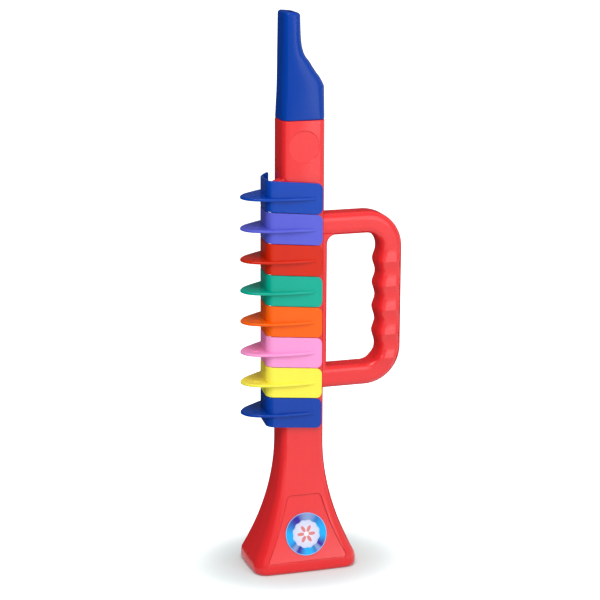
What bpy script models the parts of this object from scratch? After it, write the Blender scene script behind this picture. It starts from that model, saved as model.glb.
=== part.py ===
# Toy trumpet with eight lever keys, a flared bell and a hand grip.
# Metres, +Z up. The origin is under the middle of the whole toy, on the surface it stands on.
# Plans below are drawn about the tube's axis: keys towards -X, grip towards +X.

import math

import bmesh
import bpy
from mathutils import Matrix, Vector

# Overall reach from the tube's axis
TOTAL_HEIGHT = 0.380
FIN_REACH = 0.0416
GRIP_REACH = 0.0710
TUBE_X = (FIN_REACH - GRIP_REACH) / 2

# Running and seating clearances
SEAT_GAP = 0.0003
RUNNING_GAP = 0.00015
OVERRUN = 0.004

# Tube and bell, outside
WALL = 0.0020
MOUTHPIECE_HEIGHT = 0.0707
TUBE_TOP = TOTAL_HEIGHT - MOUTHPIECE_HEIGHT
TUBE_TOP_HALF_X = 0.0140
TUBE_BASE_HALF_X = 0.0151
TUBE_HALF_Y = 0.0114
TUBE_CORNER = 0.0050
FLARE_TOP = 0.0830
BELL_WIDE_Z = 0.0080
BELL_HALF_X = 0.0355
BELL_HALF_Y = 0.0240
BELL_CORNER = 0.0110
RIM_ROUND = 0.0045
FLARE_POWER_SHARE = 2.0
# A rounded rectangle's corner radius is at most this share of its shorter half
ROUNDEST_SHARE = 0.98

# Bell mouth, inside the turned-in rim
MOUTH_HALF_X = 0.0285
MOUTH_HALF_Y = 0.0170
MOUTH_CORNER = 0.0080

# Shallow panel on the bell and round recess on the neck
PANEL_DEPTH = 0.0005
PANEL_TOP = 0.0530
PANEL_BASE = 0.0090
PANEL_MARGIN = 0.0088
PANEL_CORNER = 0.0025
EMBLEM_BELOW_TOP = 0.0175
EMBLEM_Z = TUBE_TOP - EMBLEM_BELOW_TOP
EMBLEM_RADIUS = 0.0108
EMBLEM_DEPTH = 0.0003

# Wind chamber plug and the ledge under it
LEDGE_BASE = 0.0845
LEDGE_HEIGHT = 0.0030
LEDGE_WIDTH = 0.0028
PLUG_THICKNESS = 0.0040
PLUG_RIM_HEIGHT = 0.0040
PLUG_RIM_WALL = 0.0018

# Hand grip: a rounded bar swept round three sides, with finger waves on the inside
GRIP_BELOW_TOP = 0.0638
GRIP_TOP = TUBE_TOP - GRIP_BELOW_TOP
GRIP_BASE = 0.1250
GRIP_BAR_HALF = 0.0075
GRIP_POST_HALF = 0.00765
GRIP_HALF_Y = 0.0100
GRIP_EDGE = 0.0048
GRIP_OUTER_BEND = 0.0255
GRIP_ROOT_X = 0.0100
WAVE_PITCH = 0.0168
WAVE_HEIGHT = 0.00095
WAVE_COUNT = 4
WAVE_BELOW_GRIP_TOP = 0.0351
WAVE_FIRST_Z = GRIP_TOP - WAVE_BELOW_GRIP_TOP
STRIP_REACH = 0.0177
STRIP_HALF_Y = 0.0085
STRIP_EDGE = 0.0030

# Mouthpiece
MOUTH_BASE_DEPTH = 0.0281
MOUTH_TIP_DEPTH = 0.0098
MOUTH_TIP_HALF_Y = 0.0100
MOUTH_TIP_FRONT = 0.0120
MOUTH_TIP_CORNER = 0.0035
MOUTH_TIP_ROUND = 0.0010
MOUTH_TIP_DROP = 0.0022
SLOT_DEPTH = 0.0050
SLOT_WIDTH = 0.0140
SLOT_CORNER = 0.0018
SPIGOT_LENGTH = 0.0095
SPIGOT_WALL = 0.0016
# Height share up the mouthpiece, and share of the step from tip depth to base depth
MOUTH_PROFILE_SHARES = (
    (0.00, 1.000), (0.27, 0.990), (0.315, 0.965), (0.352, 0.893), (0.395, 0.790), (0.426, 0.690),
    (0.48, 0.540), (0.533, 0.404), (0.575, 0.270), (0.618, 0.175), (0.70, 0.087), (0.80, 0.040),
    (0.965, 0.000),
)
SLOT_START_SHARE = 0.62
SWELL_START_SHARE = 0.27

# Keys: a J-shaped band with a flat fin
KEY_COUNT = 8
KEYS_BELOW_TOP = 0.0494
KEY_1_Z = TUBE_TOP - KEYS_BELOW_TOP
KEY_8_Z = 0.11255
KEY_PITCH = (KEY_1_Z - KEY_8_Z) / (KEY_COUNT - 1)
KEY_GAP = 0.0012
KEY_WALL = 0.0016
KEY_FRONT = 0.0240
KEY_SIDE = 0.0139
KEY_BEND = 0.0050
KEY_ARM_END = 0.0125
KEY_RETURN_END = 0.0175
KEY_END_CORNER = 0.0043
KEY_RETURN_CORNER = 0.0020
KEY_SLANT_SHARE = 0.098
FIN_THICKNESS = 0.0020
FIN_DROP = 0.0016
FIN_SLANT_SHARE = 0.030
# The fin's free edge from the arm's end round the nose: shares of its reach and of its half width
FIN_HALF_WIDTH = 0.0205
FIN_EDGE_SHARES = (
    (-0.1800, -0.690), (-0.0500, -0.735), (0.1200, -0.765), (0.3000, -0.785), (0.5000, -0.775),
    (0.6300, -0.745), (0.7600, -0.690), (0.8600, -0.610), (0.9350, -0.490), (0.9800, -0.340),
    (1.0000, -0.170), (0.9900, -0.040), (0.9550, 0.100), (0.8900, 0.300), (0.8000, 0.480),
    (0.6800, 0.690), (0.5700, 0.880), (0.5000, 0.975), (0.4450, 1.000), (0.4150, 0.930),
    (0.4080, 0.800),
)

# Hinge: one rod along the tube, through lugs on the near half and knuckles on the keys
HINGE_X = 0.0183
HINGE_Y = 0.0083
ROD_RADIUS = 0.0011
KNUCKLE_RADIUS = 0.0027
KNUCKLE_HEIGHT = 0.0100
KNUCKLE_SIDE_GAP = 0.0004
KNUCKLE_WEB = 0.0036
KNUCKLE_WEB_HEIGHT = 0.0092
LUG_REACH = 0.0210
LUG_FAR_Y = 0.0026
LUG_NEAR_Y = 0.0096
LUG_ROOT_X = 0.0132
LUG_ROOT_BACK = 0.0008
END_LUG_HEIGHT = 0.0034
END_LUG_SLOPE_SHARE = 0.36
ROD_CAP = 0.0014

# Pads, tone holes and springs
PAD_X = 0.0015
PAD_RADIUS = 0.0042
PAD_THICKNESS = 0.0013
TONE_HOLE_RADIUS = 0.0028
PAD_SEAT_RADIUS = 0.0050
PAD_SEAT_DEPTH = 0.0009
SPRING_Y = 0.0036
SPRING_RADIUS = 0.0024
SPRING_WIRE = 0.0003
SPRING_TURNS = 4
SPRING_POINTS_PER_TURN = 8
SPRING_WIRE_ROUNDING = 0
SPIGOT_RADIUS = 0.0016
BODY_SPIGOT_LENGTH = 0.0024
KEY_SPIGOT_LENGTH = 0.0014

# Reed plate stack inside the near wall
PLATE_HALF_X = 0.0085
PLATE_END_MARGIN = 0.0090
PLATE_THICKNESS = 0.0020
GASKET_THICKNESS = 0.0008
WINDOW_HALF_X = 0.0070
WINDOW_HALF_Z = 0.0022
REED_SLOT_HALF_Z = 0.0015
REED_THICKNESS = 0.0004
REED_TONGUE_HALF_Z = 0.0012
REED_FOOT_HALF_Z = 0.0019
REED_FOOT_LENGTH = 0.0040
REED_TONGUE_LONGEST = 0.0112
REED_TONGUE_STEP = 0.0005
REED_FOOT_X = 0.0078
REED_TIP_GAP = 0.0004
RIVET_SHANK_RADIUS = 0.0006
RIVET_HEAD_RADIUS = 0.0013
RIVET_HEAD_HEIGHT = 0.0007
POST_RADIUS = 0.0020
POST_DROP = 0.0003
SCREW_SHANK_RADIUS = 0.0008
SCREW_HEAD_RADIUS = 0.0028
SCREW_HEAD_HEIGHT = 0.0012
SCREW_LENGTH = 0.0036

# Sticker
STICKER_Z = 0.0262
STICKER_RADIUS = 0.0146
STICKER_THICKNESS = 0.0003

# Facet counts
CORNER_STEPS = 3
FLARE_STEPS = 8
RIM_STEPS = 3
TIP_STEPS = 2
BEND_STEPS = 4
LUG_STEPS = 3
GRIP_CORNER_STEPS = 3
WAVE_STEPS = 6
ROUND_SIDES = 12
PAD_SIDES = 16
SMALL_SIDES = 8
STICKER_SIDES = 24
STICKER_RINGS = 2

KEY_COLOURS = (
    (0.010, 0.060, 0.450), (0.130, 0.130, 0.800), (0.750, 0.032, 0.007), (0.005, 0.490, 0.380),
    (1.000, 0.140, 0.013), (1.000, 0.280, 0.660), (0.930, 0.830, 0.070), (0.005, 0.046, 0.310),
)


def clear_scene():
    for thing in list(bpy.data.objects):
        bpy.data.objects.remove(thing, do_unlink=True)


def make_collection(name):
    collection = bpy.data.collections.new(name)
    bpy.context.scene.collection.children.link(collection)
    return collection


def make_material(name, colour, roughness, metallic=0.0):
    material = bpy.data.materials.new(name)
    material.use_nodes = True
    shader = material.node_tree.nodes["Principled BSDF"]
    shader.inputs["Base Color"].default_value = (*colour, 1.0)
    shader.inputs["Roughness"].default_value = roughness
    shader.inputs["Metallic"].default_value = metallic
    return material


clear_scene()
parts = make_collection("Toy trumpet")
cutters = make_collection("Cutters")


def add_part(name, mesh, location, material):
    thing = bpy.data.objects.new(name, mesh)
    thing.location = location
    mesh.materials.clear()
    mesh.materials.append(material)
    parts.objects.link(thing)
    return thing


def add_tool(name, mesh, location=(0, 0, 0)):
    thing = bpy.data.objects.new(name, mesh)
    thing.location = location
    thing.hide_render = True
    thing.display_type = "WIRE"
    cutters.objects.link(thing)
    return thing


def combine(thing, tool, operation):
    step = thing.modifiers.new(f"{operation.title()} {tool.name}", "BOOLEAN")
    step.operation = operation
    step.solver = "EXACT"
    step.object = tool


def settle(thing):
    # Turns an object with modifiers into its evaluated mesh
    bpy.context.view_layer.update()
    graph = bpy.context.evaluated_depsgraph_get()
    mesh = bpy.data.meshes.new_from_object(thing.evaluated_get(graph))
    thing.modifiers.clear()
    thing.data = mesh
    return mesh


def to_mesh(bm, name):
    mesh = bpy.data.meshes.new(name)
    bm.normal_update()
    bm.to_mesh(mesh)
    bm.free()
    return mesh


def loft_mesh(name, rings):
    # Joins rings of equal point counts with quads and closes both ends
    bm = bmesh.new()
    rows = [[bm.verts.new(point) for point in ring] for ring in rings]
    count = len(rows[0])
    for low, high in zip(rows, rows[1:]):
        for i in range(count):
            j = (i + 1) % count
            bm.faces.new((low[i], low[j], high[j], high[i]))
    bm.faces.new(list(reversed(rows[0])))
    bm.faces.new(rows[-1])
    bmesh.ops.recalc_face_normals(bm, faces=bm.faces[:])
    return to_mesh(bm, name)


def outline_mesh(name, points, half_thickness):
    # A flat outline in XY, given a thickness each way along Z
    curve = bpy.data.curves.new(name, "CURVE")
    curve.dimensions = "2D"
    curve.fill_mode = "BOTH"
    curve.extrude = half_thickness
    spline = curve.splines.new("POLY")
    spline.points.add(len(points) - 1)
    for slot, (x, y) in zip(spline.points, points):
        slot.co = (x, y, 0, 1)
    spline.use_cyclic_u = True
    holder = bpy.data.objects.new(name, curve)
    cutters.objects.link(holder)
    bpy.context.view_layer.update()
    graph = bpy.context.evaluated_depsgraph_get()
    mesh = bpy.data.meshes.new_from_object(holder.evaluated_get(graph))
    bpy.data.objects.remove(holder, do_unlink=True)
    bpy.data.curves.remove(curve)
    bm = bmesh.new()
    bm.from_mesh(mesh)
    bmesh.ops.remove_doubles(bm, verts=bm.verts[:], dist=RUNNING_GAP / ROUND_SIDES)
    bmesh.ops.recalc_face_normals(bm, faces=bm.faces[:])
    bpy.data.meshes.remove(mesh)
    return to_mesh(bm, name)


def cylinder_mesh(name, radius, start, end, sides=ROUND_SIDES):
    # A round bar between two points
    start = Vector(start)
    end = Vector(end)
    along = end - start
    turn = along.to_track_quat("Z", "Y").to_matrix().to_4x4()
    bm = bmesh.new()
    bmesh.ops.create_cone(
        bm, cap_ends=True, segments=sides, radius1=radius, radius2=radius, depth=along.length,
        matrix=Matrix.Translation((start + end) / 2) @ turn)
    return to_mesh(bm, name)


def box_mesh(name, low, high):
    low = Vector(low)
    high = Vector(high)
    bm = bmesh.new()
    bmesh.ops.create_cube(bm, size=1, matrix=Matrix.Translation((low + high) / 2)
                          @ Matrix.Diagonal((*(high - low), 1)))
    return to_mesh(bm, name)


def joined_mesh(name, meshes):
    # Several separate solids kept in one mesh
    bm = bmesh.new()
    for mesh in meshes:
        bm.from_mesh(mesh)
    return to_mesh(bm, name)


def slant(mesh, slope, start_x):
    # Lowers a piece steadily towards +X, from the given place
    for vertex in mesh.vertices:
        vertex.co.z -= slope * (vertex.co.x - start_x)


def ramp_top(mesh, slope, start_x):
    # Raises only a block's upper face towards +X, from the given place
    for vertex in mesh.vertices:
        if vertex.co.z > 0:
            vertex.co.z += slope * (vertex.co.x - start_x)


def rounded_ring(centre_x, half_x, half_y, corner, z, steps=CORNER_STEPS, tilt=0.0):
    # A rounded rectangle at one height; tilt lowers it towards +X
    corner = min(corner, half_x * ROUNDEST_SHARE, half_y * ROUNDEST_SHARE)
    points = []
    for quarter, (sx, sy) in enumerate(((1, 1), (-1, 1), (-1, -1), (1, -1))):
        for i in range(steps + 1):
            angle = math.radians(90) * (quarter + i / steps)
            x = sx * (half_x - corner) + corner * math.cos(angle)
            y = sy * (half_y - corner) + corner * math.sin(angle)
            points.append((centre_x + x, y, z - tilt * x))
    return points


def flare_share(z):
    # 0 on the straight tube, 1 at the bell's widest
    reach = (FLARE_TOP - z) / (FLARE_TOP - BELL_WIDE_Z)
    return min(max(reach, 0.0), 1.0) ** FLARE_POWER_SHARE


def tube_half_x(z):
    climb = (z - FLARE_TOP) / (TUBE_TOP - FLARE_TOP)
    return TUBE_BASE_HALF_X + (TUBE_TOP_HALF_X - TUBE_BASE_HALF_X) * max(climb, 0.0)


def body_half_x(z):
    return tube_half_x(z) + (BELL_HALF_X - TUBE_BASE_HALF_X) * flare_share(z)


def body_half_y(z):
    return TUBE_HALF_Y + (BELL_HALF_Y - TUBE_HALF_Y) * flare_share(z)


def body_corner(z):
    return TUBE_CORNER + (BELL_CORNER - TUBE_CORNER) * flare_share(z)


def rim_inset(z, wall):
    # How far the rounded rim draws in at this height
    radius = RIM_ROUND - wall
    drop = RIM_ROUND - z
    if drop <= 0:
        return 0.0
    return radius - math.sqrt(max(radius * radius - drop * drop, 0.0))


def body_ring(z, wall=0.0):
    inset = wall + rim_inset(z, wall)
    corner = max(body_corner(z) - inset, WALL)
    return rounded_ring(0, body_half_x(z) - inset, body_half_y(z) - inset, corner, z)


def rim_heights(wall):
    radius = RIM_ROUND - wall
    angles = [math.radians(90) * i / RIM_STEPS for i in range(RIM_STEPS)]
    return [RIM_ROUND - radius * math.cos(angle) for angle in angles]


def flare_heights(low, high):
    return [low + (high - low) * i / FLARE_STEPS for i in range(FLARE_STEPS + 1)]


def plug_base():
    return LEDGE_BASE + LEDGE_HEIGHT + SEAT_GAP


def grip_stations():
    # Centre line of the hand grip with each station's direction and half depth, tube to tube
    upper = GRIP_TOP - GRIP_BAR_HALF
    lower = GRIP_BASE + GRIP_BAR_HALF
    post_x = GRIP_REACH - GRIP_POST_HALF
    bend = GRIP_OUTER_BEND - GRIP_BAR_HALF
    stations = [(GRIP_ROOT_X, upper, 0.0, GRIP_BAR_HALF)]
    for i in range(BEND_STEPS + 1):
        angle = math.radians(90) * i / BEND_STEPS
        half = GRIP_BAR_HALF + (GRIP_POST_HALF - GRIP_BAR_HALF) * i / BEND_STEPS
        x = post_x - bend + bend * math.sin(angle)
        z = upper - bend + bend * math.cos(angle)
        stations.append((x, z, angle, half))
    first = WAVE_FIRST_Z + WAVE_PITCH / 2
    for i in range(WAVE_COUNT * WAVE_STEPS + 1):
        z = first - WAVE_PITCH * i / WAVE_STEPS
        if lower + bend < z < upper - bend:
            stations.append((post_x, z, math.radians(90), GRIP_POST_HALF))
    for i in range(BEND_STEPS + 1):
        angle = math.radians(90) * i / BEND_STEPS
        half = GRIP_POST_HALF + (GRIP_BAR_HALF - GRIP_POST_HALF) * i / BEND_STEPS
        x = post_x - bend + bend * math.cos(angle)
        z = lower + bend - bend * math.sin(angle)
        stations.append((x, z, math.radians(90) + angle, half))
    stations.append((GRIP_ROOT_X, lower, math.radians(180), GRIP_BAR_HALF))
    return stations


def wave(z):
    # Finger waves on the grip's inner side, fading at both ends
    last = WAVE_FIRST_Z - WAVE_PITCH * (WAVE_COUNT - 1)
    if z > WAVE_FIRST_Z + WAVE_PITCH / 2 or z < last - WAVE_PITCH / 2:
        return 0.0
    turn = math.radians(360) * (z - WAVE_FIRST_Z) / WAVE_PITCH
    return WAVE_HEIGHT * (1 + math.cos(turn))


def grip_mesh(name, inset, root_shift=0.0):
    rings = []
    for x, z, angle, half in grip_stations():
        if x == GRIP_ROOT_X:
            x += root_shift
        swell = wave(z) if math.isclose(angle, math.radians(90)) else 0.0
        outward = Vector((math.sin(angle), 0, math.cos(angle)))
        ring = rounded_ring(0, half - inset, GRIP_HALF_Y - inset, GRIP_EDGE - inset, 0,
                            GRIP_CORNER_STEPS)
        points = []
        for across, y, _ in ring:
            if across < 0:
                across -= swell
            points.append((x + outward.x * across, y, z + outward.z * across))
        rings.append(points)
    return loft_mesh(name, rings)


def body_outside():
    heights = rim_heights(0.0) + flare_heights(RIM_ROUND, FLARE_TOP) + [TUBE_TOP - SEAT_GAP / 2]
    body = add_tool("Body outside", loft_mesh("Body outside", [body_ring(z) for z in heights]))
    combine(body, add_tool("Grip outside", grip_mesh("Grip outside", 0.0)), "UNION")
    strip = add_tool("Grip strip", box_mesh(
        "Grip strip",
        (GRIP_ROOT_X, -STRIP_HALF_Y, GRIP_BASE + GRIP_BAR_HALF),
        (STRIP_REACH, STRIP_HALF_Y, GRIP_TOP - GRIP_BAR_HALF)))
    rounding = strip.modifiers.new("Rounded edges", "BEVEL")
    rounding.width = STRIP_EDGE
    rounding.segments = GRIP_CORNER_STEPS
    combine(body, strip, "UNION")
    settle(body)
    return body


def cavities():
    # Bell and mouth, wind chamber, and the hollow of the grip
    ledge_top = LEDGE_BASE + LEDGE_HEIGHT
    low = rim_heights(WALL) + flare_heights(RIM_ROUND, FLARE_TOP) + [LEDGE_BASE]
    bell = add_tool("Bell hollow", loft_mesh("Bell hollow", [body_ring(z, WALL) for z in low]))
    mouth = add_tool("Bell mouth", loft_mesh("Bell mouth", [
        rounded_ring(0, MOUTH_HALF_X, MOUTH_HALF_Y, MOUTH_CORNER, z)
        for z in (-OVERRUN, RIM_ROUND)]))
    narrow = WALL + LEDGE_WIDTH
    passage = add_tool("Ledge passage", loft_mesh("Ledge passage", [
        body_ring(z, narrow) for z in (FLARE_TOP - LEDGE_HEIGHT, ledge_top + LEDGE_HEIGHT)]))
    chamber = add_tool("Wind chamber", loft_mesh("Wind chamber", [
        body_ring(z, WALL) for z in (ledge_top, TUBE_TOP + OVERRUN)]))
    hollow = add_tool("Grip hollow", grip_mesh("Grip hollow", WALL, STRIP_REACH - GRIP_ROOT_X))
    return [bell, mouth, passage, chamber, hollow]


def panel_cutter(place):
    # A shallow pocket that follows the flare of the bell's near face
    rings = []
    span = PANEL_TOP - PANEL_BASE
    ends = [PANEL_CORNER * (1 - math.cos(math.radians(90) * i / RIM_STEPS))
            for i in range(RIM_STEPS + 1)]
    between = [PANEL_CORNER + (span - 2 * PANEL_CORNER) * i / FLARE_STEPS
               for i in range(1, FLARE_STEPS)]
    for rise in ends + between + [span - end for end in reversed(ends)]:
        z = PANEL_BASE + rise
        near_end = max(PANEL_CORNER - min(rise, span - rise), 0.0)
        draw_in = PANEL_CORNER - math.sqrt(max(PANEL_CORNER ** 2 - near_end ** 2, 0.0))
        half = body_half_x(z) - PANEL_MARGIN - draw_in
        floor = -(body_half_y(z) - PANEL_DEPTH)
        out = -(body_half_y(z) + OVERRUN)
        rings.append([(-half, out, z), (half, out, z), (half, floor, z), (-half, floor, z)])
    return add_tool("Panel pocket", loft_mesh("Panel pocket", rings), place)


def key_height(index):
    return KEY_1_Z - KEY_PITCH * index


def lug_spans():
    # Lowest and highest point of each lug, top lug first
    gap = (KEY_PITCH - KNUCKLE_HEIGHT) / 2
    spans = []
    for i in range(KEY_COUNT + 1):
        middle = key_height(i) + KEY_PITCH / 2
        low = middle - gap + KNUCKLE_SIDE_GAP
        high = middle + gap - KNUCKLE_SIDE_GAP
        if i == 0:
            high = low + END_LUG_HEIGHT
        if i == KEY_COUNT:
            low = high - END_LUG_HEIGHT
        spans.append((low, high))
    return spans


def lug_outline():
    points = [(-LUG_ROOT_X, -LUG_FAR_Y), (-LUG_REACH + KNUCKLE_RADIUS, -LUG_FAR_Y)]
    points.append((-LUG_REACH, -LUG_FAR_Y - KNUCKLE_RADIUS))
    for i in range(LUG_STEPS + 1):
        angle = math.radians(180) + math.radians(90) * i / LUG_STEPS
        points.append((-HINGE_X + KNUCKLE_RADIUS * math.cos(angle),
                       -HINGE_Y + KNUCKLE_RADIUS * math.sin(angle)))
    points.append((-LUG_ROOT_X + LUG_ROOT_BACK, -LUG_NEAR_Y))
    return points


def tone_hole_places():
    slide = KEY_SLANT_SHARE * (HINGE_X + PAD_X)
    return [key_height(i) - slide for i in range(KEY_COUNT)]


def tone_hole_mesh(z):
    # A shallow seat for the pad, stepping in to the hole through the wall
    floor = -TUBE_HALF_Y + PAD_SEAT_DEPTH
    steps = (
        (-TUBE_HALF_Y - OVERRUN, PAD_SEAT_RADIUS), (floor, PAD_SEAT_RADIUS),
        (floor, TONE_HOLE_RADIUS), (2 * WALL - TUBE_HALF_Y, TONE_HOLE_RADIUS))
    turns = [math.radians(360) * i / PAD_SIDES for i in range(PAD_SIDES)]
    return loft_mesh("Tone hole", [
        [(PAD_X + radius * math.cos(turn), y, z + radius * math.sin(turn)) for turn in turns]
        for y, radius in steps])


def post_places():
    holes = tone_hole_places()
    return [(holes[i] + holes[i + 1]) / 2 for i in range(0, KEY_COUNT, 2)]


def make_shell(name, side, outside, hollows, material):
    # One half of the body; side is -1 for the near half and 1 for the far one
    shell = add_part(name, outside.data.copy(), (TUBE_X, 0, 0), material)
    far = BELL_HALF_X + GRIP_REACH + OVERRUN
    reach = BELL_HALF_Y + OVERRUN
    edges = sorted((side * SEAT_GAP / 2, side * reach))
    keep = add_tool(f"{name} side", box_mesh(
        f"{name} side", (-far, edges[0], -OVERRUN), (far, edges[1], TOTAL_HEIGHT)),
        shell.location)
    combine(shell, keep, "INTERSECT")
    for hollow in hollows:
        combine(shell, hollow, "DIFFERENCE")
    return shell


def add_near_details(shell, place):
    # Panel and neck recess, lugs with the rod's bore, tone holes with pad seats, screw posts
    combine(shell, panel_cutter(place), "DIFFERENCE")
    emblem = add_tool("Emblem recess", cylinder_mesh(
        "Emblem recess", EMBLEM_RADIUS, (0, -TUBE_HALF_Y - OVERRUN, EMBLEM_Z),
        (0, -TUBE_HALF_Y + EMBLEM_DEPTH, EMBLEM_Z), STICKER_SIDES), place)
    combine(shell, emblem, "DIFFERENCE")
    spans = lug_spans()
    for i, (low, high) in enumerate(spans):
        mesh = outline_mesh(f"Lug {i + 1}", lug_outline(), (high - low) / 2)
        if i == 0:
            ramp_top(mesh, END_LUG_SLOPE_SHARE, -LUG_REACH)
        lug = add_tool(f"Lug {i + 1}", mesh, place + Vector((0, 0, (low + high) / 2)))
        combine(shell, lug, "UNION")
    wall_in = -(TUBE_HALF_Y - WALL)
    post_end = plate_front() + PLATE_THICKNESS - POST_DROP
    for i, z in enumerate(post_places()):
        post = add_tool(f"Post {i + 1}", cylinder_mesh(
            f"Post {i + 1}", POST_RADIUS, (0, wall_in - WALL / 2, z), (0, post_end, z)), place)
        combine(shell, post, "UNION")
    rod_top = rod_ends()[1]
    bore = cylinder_mesh("Rod bore", ROD_RADIUS + RUNNING_GAP,
                         (-HINGE_X, -HINGE_Y, spans[-1][0] - OVERRUN),
                         (-HINGE_X, -HINGE_Y, rod_top + SEAT_GAP))
    holes = [tone_hole_mesh(z) for z in tone_hole_places()]
    pilots = [cylinder_mesh("Screw pilot", SCREW_SHANK_RADIUS + SEAT_GAP,
                            (0, screw_tip() - SEAT_GAP, z), (0, post_end + OVERRUN, z),
                            SMALL_SIDES)
              for z in post_places()]
    combine(shell, add_tool("Rod bore", bore, place), "DIFFERENCE")
    combine(shell, add_tool("Tone holes", joined_mesh("Tone holes", holes), place), "DIFFERENCE")
    combine(shell, add_tool("Pilots", joined_mesh("Pilots", pilots), place), "DIFFERENCE")


def add_far_details(shell, place):
    # Spigots that hold the springs against the tube's front
    for i in range(KEY_COUNT):
        z = key_height(i)
        front = -tube_half_x(z)
        stub = add_tool(f"Spring spigot {i + 1}", cylinder_mesh(
            f"Spring spigot {i + 1}", SPIGOT_RADIUS, (front + WALL / 2, SPRING_Y, z),
            (front - BODY_SPIGOT_LENGTH, SPRING_Y, z), SMALL_SIDES), place)
        combine(shell, stub, "UNION")


def rod_ends():
    spans = lug_spans()
    return spans[-1][0] + SEAT_GAP, spans[0][1] - ROD_CAP


def key_path():
    # Outer face of the J in plan, from the near arm's end round the front to the far return.
    # Each point carries the band's half height there, smaller at the rounded ends.
    half = (KEY_PITCH - KEY_GAP) / 2
    path = []
    for i in range(CORNER_STEPS + 1):
        angle = math.radians(90) * i / CORNER_STEPS
        x = KEY_ARM_END - KEY_END_CORNER * (1 - math.sin(math.radians(90) - angle))
        path.append((x, -KEY_SIDE, half - KEY_END_CORNER * (1 - math.sin(angle))))
    for i in range(BEND_STEPS + 1):
        angle = math.radians(90) * i / BEND_STEPS
        path.append((-KEY_FRONT + KEY_BEND * (1 - math.sin(angle)),
                     -KEY_SIDE + KEY_BEND * (1 - math.cos(angle)), half))
    for i in range(BEND_STEPS + 1):
        angle = math.radians(90) * i / BEND_STEPS
        path.append((-KEY_FRONT + KEY_BEND * (1 - math.cos(angle)),
                     KEY_SIDE - KEY_BEND * (1 - math.sin(angle)), half))
    for i in range(1, CORNER_STEPS + 1):
        angle = math.radians(90) * (1 - i / CORNER_STEPS)
        x = -KEY_RETURN_END - KEY_RETURN_CORNER * (1 - math.cos(angle))
        path.append((x, KEY_SIDE, half - KEY_RETURN_CORNER * (1 - math.sin(angle))))
    return path


def fin_outline():
    # Free edge of the fin, closed along the middle of the band's wall
    points = [(-FIN_REACH * x, FIN_HALF_WIDTH * y) for x, y in FIN_EDGE_SHARES]
    middle = KEY_WALL / 2
    inner = []
    for i in range(BEND_STEPS + 1):
        angle = math.radians(90) * i / BEND_STEPS
        radius = KEY_BEND - middle
        inner.append((-KEY_FRONT + KEY_BEND - radius * math.sin(angle),
                      -KEY_SIDE + KEY_BEND - radius * math.cos(angle)))
    mirrored = [(x, -y) for x, y in reversed(inner)]
    closing = [(points[0][0], -KEY_SIDE + middle)] + inner + mirrored
    closing.append((-KEY_RETURN_END, KEY_SIDE - middle))
    return points + list(reversed(closing))


def key_mesh():
    # Drawn about the hinge axis, with the band's middle at z = 0 there
    bm = bmesh.new()
    rows = [(bm.verts.new((x, y, -half)), bm.verts.new((x, y, half))) for x, y, half in key_path()]
    for (a, b), (c, d) in zip(rows, rows[1:]):
        bm.faces.new((a, b, d, c))
    band = add_tool("Key band", to_mesh(bm, "Key band"))
    walls = band.modifiers.new("Wall", "SOLIDIFY")
    walls.thickness = KEY_WALL
    walls.offset = -1
    walls.use_even_offset = True
    settle(band)
    fin = add_tool("Key fin", outline_mesh("Key fin", fin_outline(), FIN_THICKNESS / 2))
    knuckle_z = KNUCKLE_HEIGHT / 2
    knuckle = add_tool("Knuckle", cylinder_mesh(
        "Knuckle", KNUCKLE_RADIUS, (-HINGE_X, -HINGE_Y, -knuckle_z), (-HINGE_X, -HINGE_Y, knuckle_z)))
    web_z = KNUCKLE_WEB_HEIGHT / 2
    web = add_tool("Knuckle web", box_mesh(
        "Knuckle web",
        (-KEY_FRONT + KEY_WALL / 2, -HINGE_Y - KNUCKLE_WEB / 2, -web_z),
        (-HINGE_X, -HINGE_Y + KNUCKLE_WEB / 2, web_z)))
    spigot = add_tool("Key spigot", cylinder_mesh(
        "Key spigot", SPIGOT_RADIUS, (-KEY_FRONT + KEY_WALL / 2, SPRING_Y, 0),
        (-KEY_FRONT + KEY_WALL + KEY_SPIGOT_LENGTH, SPRING_Y, 0), SMALL_SIDES))
    bore = add_tool("Knuckle bore", cylinder_mesh(
        "Knuckle bore", ROD_RADIUS + RUNNING_GAP, (-HINGE_X, -HINGE_Y, -KEY_PITCH),
        (-HINGE_X, -HINGE_Y, KEY_PITCH)))
    slant(band.data, KEY_SLANT_SHARE, -HINGE_X)
    slant(fin.data, FIN_SLANT_SHARE, -HINGE_X)
    for vertex in fin.data.vertices:
        vertex.co.z -= FIN_DROP
    for piece in (fin, knuckle, web, spigot):
        combine(band, piece, "UNION")
    combine(band, bore, "DIFFERENCE")
    mesh = settle(band)
    mesh.transform(Matrix.Translation((HINGE_X, HINGE_Y, 0)))
    return mesh


def make_keys(colours):
    pattern = key_mesh()
    for i in range(KEY_COUNT):
        place = (TUBE_X - HINGE_X, -HINGE_Y, key_height(i))
        add_part(f"key_{i + 1}", pattern.copy(), place, colours[i])


def make_pads(material):
    face = -KEY_SIDE + KEY_WALL + SEAT_GAP
    for i, z in enumerate(tone_hole_places()):
        mesh = cylinder_mesh("Pad", PAD_RADIUS, (PAD_X, face, 0), (PAD_X, face + PAD_THICKNESS, 0),
                             PAD_SIDES)
        mesh.transform(Matrix.Translation((HINGE_X, HINGE_Y, z - key_height(i))))
        add_part(f"key_pad_{i + 1}", mesh, (TUBE_X - HINGE_X, -HINGE_Y, key_height(i)), material)


def spring_points(length):
    count = SPRING_TURNS * SPRING_POINTS_PER_TURN
    points = []
    for i in range(count + 1):
        turn = math.radians(360) * i / SPRING_POINTS_PER_TURN
        points.append(Vector((length * i / count, SPRING_RADIUS * math.cos(turn),
                              SPRING_RADIUS * math.sin(turn))))
    return points


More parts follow.
